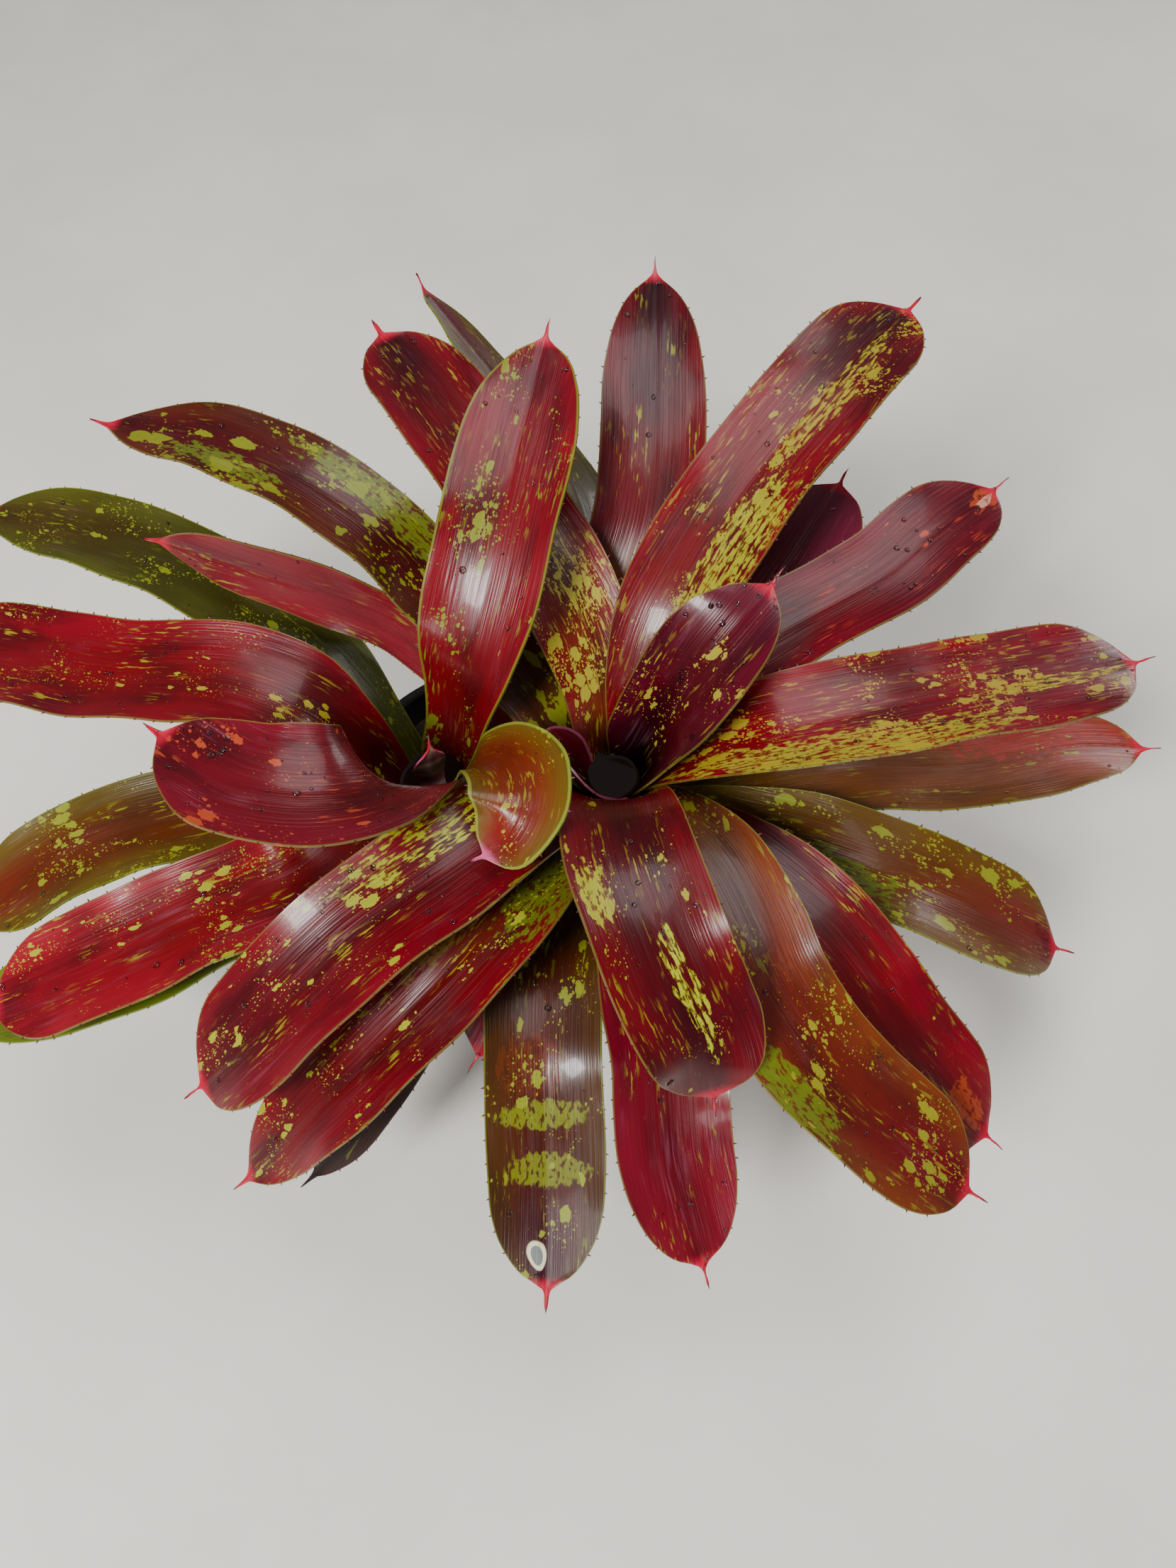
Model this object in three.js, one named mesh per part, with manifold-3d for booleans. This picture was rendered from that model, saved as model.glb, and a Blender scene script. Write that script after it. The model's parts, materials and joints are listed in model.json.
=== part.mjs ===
// Potted bromeliad: two leaf rosettes on short stems, growing in one black nursery pot.
// Millimetres, +Z up, origin at the centre of the pot's underside.
// Leaves are laid out in polar terms about the axis of their own rosette: heading in degrees
// counter-clockwise from +X, reach outwards from the axis, rise above the potting mix.
import * as THREE from 'three';
import { mergeVertices } from 'three/addons/utils/BufferGeometryUtils.js';
import Module from 'manifold-3d';

const wasm = await Module();
wasm.setup();

// ---- Driving dimensions -------------------------------------------------------------------

const POT = {
  height: 128,
  baseRadius: 55,
  rimRadius: 76,
  wall: 1.8,
  floor: 2.4,
  collarHeight: 14,
  collarStep: 2.2,
  lipRadius: 1.4,
  drainHoles: 8,
  drainRadius: 5,
  drainInset: 13,
  segments: 48,
};

const MIX = {
  headspace: 12,
  fit: 0.3,
  crown: 3,
  segments: 40,
};

const STEM = {
  footRadius: 9,
  topRadius: 5.5,
  buried: 22,
  firstLeaf: 4,
  crown: 6,
  fit: 0.3,
  segments: 24,
};

const LEAF = {
  thickness: 0.9,
  fit: 0.8,
  layerGap: 0.75,
  layersBelow: 20,
  flareDegrees: 22.5,
  wrapDegrees: 40,
  sheathLength: 30,
  releaseLength: 36,
  neckWidthShare: 0.62,
  neckLength: 100,
  tipLength: 38,
  spineLength: 9,
  spineWidth: 5,
  spinePoint: 1.6,
  channelNearStem: 30,
  channelAtTip: 90,
  across: 6,
  along: 8,
};

/** Path of a leaf that hangs over the pot's rim, its reach given beyond the rim radius. */
function overRim(path) {
  return path.map(([heading, beyond, rise]) => [heading, POT.rimRadius + beyond, rise]);
}

/** Path of the youngest leaf, its rise given above the layers of sheaths that it stands over. */
function aboveLayers(path) {
  const layers = LEAF.layersBelow * LEAF.layerGap;
  return path.map(([heading, reach, rise]) => [heading, reach, layers + rise]);
}

// Each rosette's leaves are listed from the oldest, lowest on the stem, to the youngest.
// overlapStep is how many leaves apart the nearest two that lie over each other are.
// A leaf's path starts where its blade leaves the sheath: [heading, reach, rise] points.
const RIGHT_ROSETTE = {
  name: 'right',
  centre: [48, -16],
  overlapStep: 2,
  leaves: [
    { at: 226, width: 26, sheath: 12, tip: 50,
      path: overRim([[226, -16, 22], [227, 39, 4], [227, 90, -34], [226, 120, -56]]) },
    { at: 2, width: 46, sheath: 16, tip: 60, path: [[5, 60, 41], [7, 102, 43], [7, 160, 36], [9, 211, 30], [8, 252, 24]] },
    { at: 146, width: 30, roll: -70, tip: 70, path: [[146, 55, 46], [144, 109, 74], [149, 150, 86], [152, 192, 91], [153, 230, 90]] },
    { at: 242, width: 40, sheath: 16, path: [[242, 50, 36], [242, 102, 20], [241, 123, 4]] },
    { at: 98, width: 42, roll: 40, tip: 90, path: [[96, 70, 66], [97, 123, 92], [105, 168, 112], [109, 205, 121], [112, 243, 130]] },
    { at: 340, width: 48, path: [[340, 40, 46], [340, 72, 52], [340, 113, 52], [341, 154, 41], [343, 203, 12]] },
    { at: 251, width: 46, tip: 48, path: [[249, 40, 37], [249, 74, 44], [256, 116, 40], [260, 154, 16], [262, 197, -18]] },
    { at: 49, width: 46, path: [[49, 50, 62], [49, 90, 76], [51, 135, 86], [53, 177, 92]] },
    { at: 134, width: 40, tip: 75, path: [[134, 50, 70], [136, 107, 94], [139, 143, 118], [143, 200, 128], [148, 264, 122]] },
    { at: 280, width: 46, tip: 48, path: [[281, 45, 49], [280, 91, 45], [280, 116, 36], [279, 142, 18], [281, 190, -18]] },
    { at: 88, width: 45, tip: 75, path: [[87, 40, 76], [88, 63, 87], [82, 100, 114], [84, 162, 141], [85, 212, 149]] },
    { at: 238, width: 44, tip: 80, path: [[239, 42, 68], [238, 68, 76], [235, 109, 72], [231, 147, 54], [228, 177, 30], [225, 214, -8]] },
    { at: 34, width: 42, wrap: 34, path: [[34, 45, 92], [33, 85, 102], [31, 125, 110], [33, 162, 116], [34, 200, 116]] },
    { at: 225, width: 50, path: [[224, 44, 86], [222, 88, 90], [220, 129, 83], [219, 167, 62], [217, 207, 27]] },
    { at: 320, width: 46, wrap: 34, path: [[320, 38, 60], [319, 70, 66], [318, 108, 63], [316, 148, 46], [318, 206, 1]] },
    { at: 104, width: 46, path: [[102, 36, 84], [109, 67, 106], [115, 104, 122], [117, 156, 127], [119, 221, 130]] },
    { at: 302, width: 48, path: [[303, 40, 80], [303, 70, 84], [299, 112, 76], [302, 147, 58], [311, 213, 14]] },
    { at: 64, width: 48, wrap: 36, path: [[66, 46, 104], [61, 92, 130], [57, 143, 148], [55, 195, 155], [54, 219, 154]] },
    { at: 268, width: 48, wrap: 50, neck: 0.85, path: [[269, 36, 100], [274, 68, 113], [280, 106, 103], [284, 129, 82], [284, 142, 57]] },
    { at: 356, width: 47, wrap: 36, path: [[355, 44, 96], [1, 92, 106], [6, 150, 103], [9, 220, 95]] },
    { at: 212, width: 50, wrap: 75, neck: 1, path: [[212, 24, 88], [214, 29, 112]] },
    { at: 22, width: 48, wrap: 80, neck: 1, tip: 48, path: [[24, 28, 104], [28, 48, 128], [34, 76, 142]] },
  ],
};

const LEFT_ROSETTE = {
  name: 'left',
  centre: [-30, -12],
  overlapStep: 1,
  leaves: [
    { at: 222, width: 40, sheath: 12, path: [[220, 60, 40], [217, 96, 40], [213, 147, 31], [204, 218, 8]] },
    { at: 134, width: 44, sheath: 16, tip: 60, path: [[133, 50, 54], [134, 90, 62], [138, 140, 69], [143, 200, 70], [148, 264, 65]] },
    { at: 192, width: 46, path: [[192, 50, 54], [192, 97, 56], [192, 140, 49], [196, 205, 26]] },
    { at: 230, width: 50, path: [[234, 40, 66], [230, 74, 72], [218, 106, 58], [214, 145, 52], [209, 200, 34]] },
    { at: 168, width: 50, path: [[168, 40, 86], [166, 75, 98], [169, 124, 94], [167, 182, 84], [166, 230, 73]] },
    { at: 256, width: 50, tip: 56, path: [[262, 34, 106], [244, 50, 122], [222, 68, 126], [200, 84, 124], [191, 96, 121]] },
    { at: 54, width: 48, wrap: 60, tip: 60, path: [[52, 30, 98], [60, 56, 126], [66, 90, 145], [69, 125, 156], [71, 159, 162]] },
    { at: 332, width: 38, channel: 60, path: [[334, 25, 84], [326, 44, 109], [316, 60, 119], [307, 69, 118], [299, 70, 107], [293, 65, 94]] },
    { at: 290, width: 20, wrap: 55, tip: 18,
      path: aboveLayers([[290, 10, 51], [294, 12, 71], [302, 13, 87]]) },
  ],
};

const FINISH = {
  pot: { color: 0x141416, roughness: 0.35 },
  mix: { color: 0x3a2618, roughness: 0.95 },
  stem: { color: 0x5a4a2c, roughness: 0.8 },
  leaf: { color: 0x8b1420, roughness: 0.3 },
};

// ---- Helpers ------------------------------------------------------------------------------

const MIX_LEVEL = POT.height - MIX.headspace;
const FLARE = THREE.MathUtils.degToRad(LEAF.flareDegrees);

const part = new THREE.Group();

/** Adds one named, closed mesh to the part. */
function addMesh(name, geometry, finish) {
  const material = new THREE.MeshStandardMaterial({ ...finish, metalness: 0 });
  const mesh = new THREE.Mesh(geometry, material);
  mesh.name = name;
  part.add(mesh);
  return mesh;
}

/** Turns a closed geometry into a solid that can be cut. */
function toSolid(geometry) {
  const bare = geometry.clone();
  bare.deleteAttribute('normal');
  bare.deleteAttribute('uv');
  const merged = mergeVertices(bare, 1e-4);
  const mesh = new wasm.Mesh({
    numProp: 3,
    vertProperties: new Float32Array(merged.attributes.position.array),
    triVerts: new Uint32Array(merged.index.array),
  });
  return new wasm.Manifold(mesh);
}

/** Turns a solid back into a geometry. */
function toGeometry(solid) {
  const mesh = solid.getMesh();
  const geometry = new THREE.BufferGeometry();
  geometry.setAttribute('position', new THREE.BufferAttribute(mesh.vertProperties, 3));
  geometry.setIndex(new THREE.BufferAttribute(mesh.triVerts, 1));
  return geometry;
}

/** A closed solid of revolution about Z from [radius, height] points, going up the outside. */
function turned(profile, segments) {
  const points = profile.map(([radius, height]) => new THREE.Vector2(radius, height));
  return new THREE.LatheGeometry(points, segments).rotateX(Math.PI / 2);
}

/** A point given by heading in degrees, reach and rise about a rosette's axis. */
function polarPoint([centreX, centreY], heading, reach, rise) {
  const angle = THREE.MathUtils.degToRad(heading);
  return new THREE.Vector3(
    centreX + reach * Math.cos(angle),
    centreY + reach * Math.sin(angle),
    MIX_LEVEL + rise,
  );
}

// ---- Pot ----------------------------------------------------------------------------------

/** Inner radius of the tapered pot wall at a height. */
function potInnerRadius(height) {
  const share = height / POT.height;
  return POT.baseRadius + (POT.rimRadius - POT.collarStep - POT.baseRadius) * share - POT.wall;
}

/** Moulded pot: tapered wall, stepped collar, rounded lip, flat floor with drain holes. */
function buildPot() {
  const collarFoot = POT.height - POT.collarHeight;
  const wallAtCollar = potInnerRadius(collarFoot) + POT.wall;
  const collarTop = POT.height - POT.lipRadius;
  const shell = toSolid(turned([
    [0, 0],
    [POT.baseRadius - POT.wall, 0],
    [POT.baseRadius, POT.wall],
    [wallAtCollar, collarFoot],
    [wallAtCollar + POT.collarStep, collarFoot + POT.collarStep / 2],
    [POT.rimRadius, collarTop - POT.lipRadius],
    [POT.rimRadius + POT.lipRadius, collarTop],
    [POT.rimRadius, POT.height],
    [potInnerRadius(POT.height), POT.height],
    [potInnerRadius(POT.floor), POT.floor],
    [0, POT.floor],
  ], POT.segments));

  const ring = POT.baseRadius - POT.drainInset;
  let pot = shell;
  for (let hole = 0; hole < POT.drainHoles; hole += 1) {
    const angle = (2 * Math.PI * hole) / POT.drainHoles;
    const drill = new THREE.CylinderGeometry(POT.drainRadius, POT.drainRadius, 4 * POT.floor, 16);
    drill.rotateX(Math.PI / 2).translate(ring * Math.cos(angle), ring * Math.sin(angle), 0);
    pot = pot.subtract(toSolid(drill));
  }
  return toGeometry(pot);
}

// ---- Potting mix and stems ----------------------------------------------------------------

/** Stem radius at a height above the mix, tapering up to the crown. */
function stemRadius(rise, stemHeight) {
  const share = THREE.MathUtils.clamp(rise / stemHeight, 0, 1);
  return THREE.MathUtils.lerp(STEM.footRadius, STEM.topRadius, share);
}

/** Spacing of the leaves up a stem, so that leaves over each other keep their gap. */
function leafPitch(rosette) {
  return (LEAF.thickness + LEAF.layerGap) / (Math.sin(FLARE) * rosette.overlapStep);
}

/** Height of a rosette's stem above the mix. */
function stemHeight(rosette) {
  return STEM.firstLeaf + (rosette.leaves.length - 1) * leafPitch(rosette) + STEM.crown;
}

/** Short woody stem with a domed top, rooted in the mix. */
function buildStem(rosette) {
  const height = stemHeight(rosette);
  const dome = STEM.topRadius / 2;
  return turned([
    [0, -STEM.buried],
    [STEM.footRadius * 0.7, -STEM.buried],
    [STEM.footRadius, -STEM.buried * 0.6],
    [STEM.footRadius, 0],
    [STEM.topRadius, height - dome],
    [STEM.topRadius * 0.7, height - dome * 0.3],
    [0, height],
  ], STEM.segments).translate(...rosette.centre, MIX_LEVEL);
}

/** The root ball: fills the pot to below the rim, slightly crowned, with a socket for each stem. */
function buildMix() {
  const floor = POT.floor + MIX.fit;
  let mix = toSolid(turned([
    [0, floor],
    [potInnerRadius(floor) - 2 * MIX.fit, floor],
    [potInnerRadius(MIX_LEVEL - MIX.crown) - 2 * MIX.fit, MIX_LEVEL - MIX.crown],
    [potInnerRadius(MIX_LEVEL) * 0.8, MIX_LEVEL],
    [0, MIX_LEVEL],
  ], MIX.segments));
  for (const rosette of [RIGHT_ROSETTE, LEFT_ROSETTE]) {
    const radius = STEM.footRadius + STEM.fit;
    const depth = STEM.buried + STEM.fit;
    const socket = new THREE.CylinderGeometry(radius, radius, 2 * depth, STEM.segments);
    socket.rotateX(Math.PI / 2).translate(...rosette.centre, MIX_LEVEL);
    mix = mix.subtract(toSolid(socket));
  }
  return toGeometry(mix);
}

// ---- Leaves -------------------------------------------------------------------------------

/** Midrib of a leaf: up the flared sheath beside the stem, then out along its path. */
function leafMidrib(rosette, leaf, order) {
  const rise = STEM.firstLeaf + order * leafPitch(rosette);
  const reach = stemRadius(rise, stemHeight(rosette)) + LEAF.fit + LEAF.thickness / 2;
  const sheath = leaf.sheath ?? LEAF.sheathLength;
  const points = [0, 0.5, 1].map((share) => polarPoint(
    rosette.centre,
    leaf.at,
    reach + share * sheath * Math.sin(FLARE),
    rise + share * sheath * Math.cos(FLARE),
  ));
  for (const [heading, out, up] of leaf.path) {
    points.push(polarPoint(rosette.centre, heading, out, up));
  }
  return new THREE.CatmullRomCurve3(points, false, 'centripetal');
}

/** Length of the rounded end of a leaf, up to its spine; a short leaf has a shorter end. */
function endLength(leaf, length) {
  return Math.min(leaf.tip ?? LEAF.tipLength, length / 2);
}

/** Distances along a midrib where the leaf's rows lie, closer together towards the tip. */
function rowDistances(leaf, length) {
  const end = endLength(leaf, length);
  const straight = length - LEAF.spineLength - end;
  const rows = [];
  for (let row = 0; row <= LEAF.along; row += 1) {
    rows.push((straight * row) / LEAF.along);
  }
  for (const share of [0.35, 0.65, 0.87, 1]) {
    rows.push(straight + share * end);
  }
  rows.push(length);
  return rows;
}

/** Width of a leaf at a distance from its foot: narrow neck, parallel blade, round end, spine. */
function leafWidth(leaf, distance, length) {
  const beforeSpine = length - LEAF.spineLength - distance;
  const end = endLength(leaf, length);
  if (beforeSpine < 0) {
    return THREE.MathUtils.lerp(LEAF.spineWidth, LEAF.spinePoint, -beforeSpine / LEAF.spineLength);
  }
  const neck = leaf.neck ?? LEAF.neckWidthShare;
  const open = THREE.MathUtils.smoothstep(distance, LEAF.sheathLength, LEAF.neckLength);
  const blade = leaf.width * THREE.MathUtils.lerp(neck, 1, open);
  const share = THREE.MathUtils.clamp(1 - beforeSpine / end, 0, 1);
  return Math.max(LEAF.spineWidth, blade * Math.pow(1 - share ** 2.2, 0.62));
}

/** Level direction across a leaf: square to its run, or to its bearing from the axis if steep. */
function levelSide(up, along, fromAxis) {
  const slack = Math.hypot(along.x, along.y);
  const byBearing = new THREE.Vector3().crossVectors(up, fromAxis).normalize();
  const byRun = new THREE.Vector3().crossVectors(up, along).normalize();
  return byBearing.lerp(byRun, THREE.MathUtils.smoothstep(slack, 0.25, 0.75)).normalize();
}

/** Middle surface of a leaf as rows of points, with the side edges at the ends of each row. */
function leafSurface(rosette, leaf, order) {
  const midrib = leafMidrib(rosette, leaf, order);
  const length = midrib.getLength();
  const sheath = leaf.sheath ?? LEAF.sheathLength;
  const wrap = THREE.MathUtils.degToRad(leaf.wrap ?? LEAF.wrapDegrees);
  const roll = THREE.MathUtils.degToRad(leaf.roll ?? 0);
  const axis = new THREE.Vector3(...rosette.centre, 0);
  const up = new THREE.Vector3(0, 0, 1);

  return rowDistances(leaf, length).map((distance) => {
    const share = distance / length;
    const centre = midrib.getPointAt(share);
    const along = midrib.getTangentAt(share);
    const side = levelSide(up, along, centre.clone().sub(axis));
    const free = THREE.MathUtils.smoothstep(distance, sheath, sheath + LEAF.releaseLength);
    const rolled = side.applyAxisAngle(along, roll * free);
    const face = new THREE.Vector3().crossVectors(along, rolled);

    const reach = Math.hypot(centre.x - axis.x, centre.y - axis.y);
    const width = leafWidth(leaf, distance, length);
    const clasp = Math.min(width, 2 * wrap * reach);
    const bladeWidth = THREE.MathUtils.lerp(clasp, width, free);
    const channelAtTip = leaf.channel ?? LEAF.channelAtTip;
    const channel = THREE.MathUtils.lerp(LEAF.channelNearStem, channelAtTip, share);

    const row = [];
    for (let column = 0; column <= LEAF.across; column += 1) {
      const offset = column / LEAF.across - 0.5;
      const turn = (offset * clasp) / reach;
      const clasping = centre.clone().sub(axis)
        .applyAxisAngle(up, turn).add(axis);
      const bend = (offset * bladeWidth) / channel;
      const open = centre.clone()
        .addScaledVector(rolled, channel * Math.sin(bend))
        .addScaledVector(face, channel * (1 - Math.cos(bend)));
      row.push(clasping.lerp(open, free));
    }
    return row;
  });
}

/** Unit normals of a surface given as rows of points, facing the upper side of the leaf. */
function surfaceNormals(rows) {
  const last = rows.length - 1;
  return rows.map((row, r) => row.map((_, c) => {
    const along = rows[Math.min(r + 1, last)][c].clone().sub(rows[Math.max(r - 1, 0)][c]);
    const right = row[Math.min(c + 1, row.length - 1)];
    const across = right.clone().sub(row[Math.max(c - 1, 0)]);
    return along.cross(across).normalize();
  }));
}

/** A closed leaf of even thickness around its middle surface. */
function buildLeaf(rosette, leaf, order) {
  const rows = leafSurface(rosette, leaf, order);
  const normals = surfaceNormals(rows);
  const columns = LEAF.across + 1;
  const count = rows.length * columns;
  const positions = [];
  for (const sign of [0.5, -0.5]) {
    rows.forEach((row, r) => row.forEach((point, c) => {
      const shifted = point.clone().addScaledVector(normals[r][c], sign * LEAF.thickness);
      positions.push(shifted.x, shifted.y, shifted.z);
    }));
  }

  const index = [];
  const quad = (a, b, c, d) => index.push(a, b, c, a, c, d);
  for (let r = 0; r + 1 < rows.length; r += 1) {
    for (let c = 0; c + 1 < columns; c += 1) {
      const a = r * columns + c;
      const b = a + columns;
      quad(a, b, b + 1, a + 1);
      quad(count + a, count + a + 1, count + b + 1, count + b);
    }
    const left = r * columns;
    const right = left + columns - 1;
    quad(left, count + left, count + left + columns, left + columns);
    quad(right, right + columns, count + right + columns, count + right);
  }
  for (let c = 0; c + 1 < columns; c += 1) {
    const tip = (rows.length - 1) * columns + c;
    quad(c, c + 1, count + c + 1, count + c);
    quad(tip, count + tip, count + tip + 1, tip + 1);
  }

  const geometry = new THREE.BufferGeometry();
  geometry.setAttribute('position', new THREE.Float32BufferAttribute(positions, 3));
  geometry.setIndex(index);
  return geometry;
}

// ---- Assembly -----------------------------------------------------------------------------

addMesh('pot', buildPot(), FINISH.pot);
addMesh('potting_mix', buildMix(), FINISH.mix);
for (const rosette of [RIGHT_ROSETTE, LEFT_ROSETTE]) {
  addMesh(`${rosette.name}_stem`, buildStem(rosette), FINISH.stem);
  rosette.leaves.forEach((leaf, order) => {
    const number = String(order + 1).padStart(2, '0');
    addMesh(`${rosette.name}_leaf_${number}`, buildLeaf(rosette, leaf, order), FINISH.leaf);
  });
}

export default part;
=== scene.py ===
"""Potted bromeliad: two rosettes of glossy, spotted strap leaves in one black nursery pot.

The CAD frame gives every place and size. Each leaf is rebuilt as a fine, smooth blade on the
surface of its own CAD solid, then gets its groove, spine, marginal teeth, spots and dew.
"""

import json
import logging
import math
from contextlib import contextmanager
from dataclasses import dataclass, field, replace
from enum import Enum
from typing import Iterable, Iterator, Sequence, Union

import bpy
import numpy as np
from mathutils import Matrix, Vector, noise


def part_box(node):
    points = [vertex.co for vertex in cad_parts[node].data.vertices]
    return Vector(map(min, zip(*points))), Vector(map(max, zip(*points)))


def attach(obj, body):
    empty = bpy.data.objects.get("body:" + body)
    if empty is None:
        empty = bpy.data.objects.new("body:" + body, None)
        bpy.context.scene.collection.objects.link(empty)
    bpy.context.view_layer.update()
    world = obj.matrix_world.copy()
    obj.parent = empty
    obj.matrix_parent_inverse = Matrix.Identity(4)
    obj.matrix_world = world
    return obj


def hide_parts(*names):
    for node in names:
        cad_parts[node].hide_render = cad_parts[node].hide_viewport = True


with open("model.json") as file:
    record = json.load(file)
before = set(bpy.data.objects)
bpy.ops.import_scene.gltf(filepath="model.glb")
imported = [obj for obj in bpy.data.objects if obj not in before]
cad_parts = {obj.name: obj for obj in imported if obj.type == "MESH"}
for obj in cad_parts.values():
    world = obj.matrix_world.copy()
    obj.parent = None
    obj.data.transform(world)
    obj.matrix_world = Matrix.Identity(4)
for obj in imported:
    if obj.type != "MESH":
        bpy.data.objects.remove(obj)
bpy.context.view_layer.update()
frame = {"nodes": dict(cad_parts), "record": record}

LOG = logging.getLogger("bromeliad")
MM = 0.001
# Corners closer than this are one point.
SAME_POINT = 0.001 * MM

Socket = bpy.types.NodeSocket
Value = Union[float, tuple, Socket, bpy.types.Node]


# ---- Small tools --------------------------------------------------------------------------


class Rosette(Enum):
    """The two rosettes, by the name that their CAD nodes start with."""

    RIGHT = "right"
    LEFT = "left"


class Reach(Enum):
    """Part of a leaf that holds a pattern: where it begins, is full, starts to fade and ends.

    The values are shares of the leaf's length from its foot.
    """

    ALL = (-0.2, -0.1, 1.1, 1.2)
    BASE = (-0.2, -0.1, 0.35, 0.6)


def linear(hex_colour: str) -> tuple[float, float, float, float]:
    """Turn an sRGB hex colour into linear RGBA.

    Args:
        hex_colour: Colour such as "#8b0f1c".

    Returns:
        Linear red, green, blue and an alpha of 1.
    """
    channels = [int(hex_colour[i : i + 2], 16) / 255 for i in (1, 3, 5)]
    bent = [c / 12.92 if c <= 0.04045 else ((c + 0.055) / 1.055) ** 2.4 for c in channels]
    return (*bent, 1.0)


def pick_only(piece: bpy.types.Object) -> None:
    """Deselect everything, then select one object and make it active.

    Args:
        piece: The object that the next operators act on.
    """
    bpy.ops.object.select_all(action="DESELECT")
    piece.select_set(True)
    bpy.context.view_layer.objects.active = piece


def add_primitive(kind: str, **settings: object) -> bpy.types.Object:
    """Add a primitive with nothing else selected.

    Args:
        kind: Blender's name for the primitive, such as "cone".
        **settings: Its size and place.

    Returns:
        The new object, selected and active.
    """
    bpy.ops.object.select_all(action="DESELECT")
    getattr(bpy.ops.mesh, f"primitive_{kind}_add")(**settings)
    return bpy.context.object


@contextmanager
def editing(piece: bpy.types.Object) -> Iterator[None]:
    """Open a piece in edit mode with all of it selected, and go back to object mode after.

    Args:
        piece: The object whose mesh is edited.
    """
    pick_only(piece)
    bpy.ops.object.mode_set(mode="EDIT")
    bpy.ops.mesh.select_all(action="SELECT")
    yield
    bpy.ops.object.mode_set(mode="OBJECT")


def apply_place(piece: bpy.types.Object) -> None:
    """Move a piece's place into its mesh, so that its object sits at the origin.

    Args:
        piece: The object to change.
    """
    pick_only(piece)
    bpy.ops.object.transform_apply(location=True, rotation=True, scale=True)


def apply_modifier(piece: bpy.types.Object, kind: str, **settings: object) -> None:
    """Add a modifier, set it and apply it.

    Args:
        piece: The object to change.
        kind: Blender's modifier type.
        **settings: Values for the modifier's properties.
    """
    pick_only(piece)
    bpy.ops.object.modifier_add(type=kind)
    modifier = piece.modifiers[-1]
    for name, value in settings.items():
        setattr(modifier, name, value)
    bpy.ops.object.modifier_apply(modifier=modifier.name)


def smooth(piece: bpy.types.Object, degrees: float = 50.0) -> None:
    """Shade an object smooth, with edges sharper than an angle kept crisp.

    Args:
        piece: The object to shade.
        degrees: Edges that bend more than this stay crisp.
    """
    pick_only(piece)
    bpy.ops.object.shade_smooth_by_angle(angle=math.radians(degrees))


def settle(piece: bpy.types.Object, slot: str, *nodes: str) -> bpy.types.Object:
    """Fasten a finished piece to the part and report it.

    Args:
        piece: The finished object.
        slot: The record's material slot for it; not used.
        *nodes: CAD nodes that it stands for.

    Returns:
        The same object.
    """
    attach(piece, "root")
    if nodes:
        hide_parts(*nodes)
    LOG.info("%s: %d faces", piece.name, len(piece.data.polygons))
    return piece


def read_node(node: str) -> tuple[np.ndarray, np.ndarray]:
    """Read a CAD node's triangles with their shared corners merged.

    Args:
        node: Name of the CAD node.

    Returns:
        Points as an array of (x, y, z), and triangles as an array of three point numbers.
    """
    mesh = frame["nodes"][node].data
    corners = np.empty(len(mesh.vertices) * 3)
    mesh.vertices.foreach_get("co", corners)
    corners = corners.reshape(-1, 3)
    used = np.empty(len(mesh.loops), int)
    mesh.loops.foreach_get("vertex_index", used)
    rounded = np.round(corners / SAME_POINT).astype(np.int64)
    _, first, place = np.unique(rounded, axis=0, return_index=True, return_inverse=True)
    return corners[first], place.reshape(-1)[used].reshape(-1, 3)


def through(knots: np.ndarray, values: np.ndarray, where: np.ndarray) -> np.ndarray:
    """Interpolate smoothly through rows of values.

    Args:
        knots: Where each row of values lies, increasing.
        values: One row for each knot.
        where: Where to read the curve.

    Returns:
        One row for each place in where, on a cubic curve through the values.
    """
    column = (-1,) + (1,) * (values.ndim - 1)
    step = np.diff(knots).reshape(column)
    slope = np.diff(values, axis=0) / step
    tangent = np.concatenate([
        slope[:1],
        (slope[:-1] * step[1:] + slope[1:] * step[:-1]) / (step[:-1] + step[1:]),
        slope[-1:],
    ])
    low = np.clip(np.searchsorted(knots, where, side="right") - 1, 0, len(knots) - 2)
    gap = step[low]
    u = (where - knots[low]).reshape(column) / gap
    return (
        (2 * u**3 - 3 * u**2 + 1) * values[low]
        + (u**3 - 2 * u**2 + u) * tangent[low] * gap
        + (3 * u**2 - 2 * u**3) * values[low + 1]
        + (u**3 - u**2) * tangent[low + 1] * gap
    )


def ease(value: np.ndarray, start: float, end: float) -> np.ndarray:
    """Rise smoothly from 0 at start to 1 at end.

    Args:
        value: Where to read the step.
        start: Where it leaves 0.
        end: Where it reaches 1.

    Returns:
        The step's height at each value.
    """
    share = np.clip((value - start) / (end - start), 0, 1)
    return share * share * (3 - 2 * share)


def unit(vectors: np.ndarray) -> np.ndarray:
    """Scale vectors in the last axis to length 1."""
    shortest = 1e-12
    return vectors / np.maximum(np.linalg.norm(vectors, axis=-1, keepdims=True), shortest)


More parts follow.
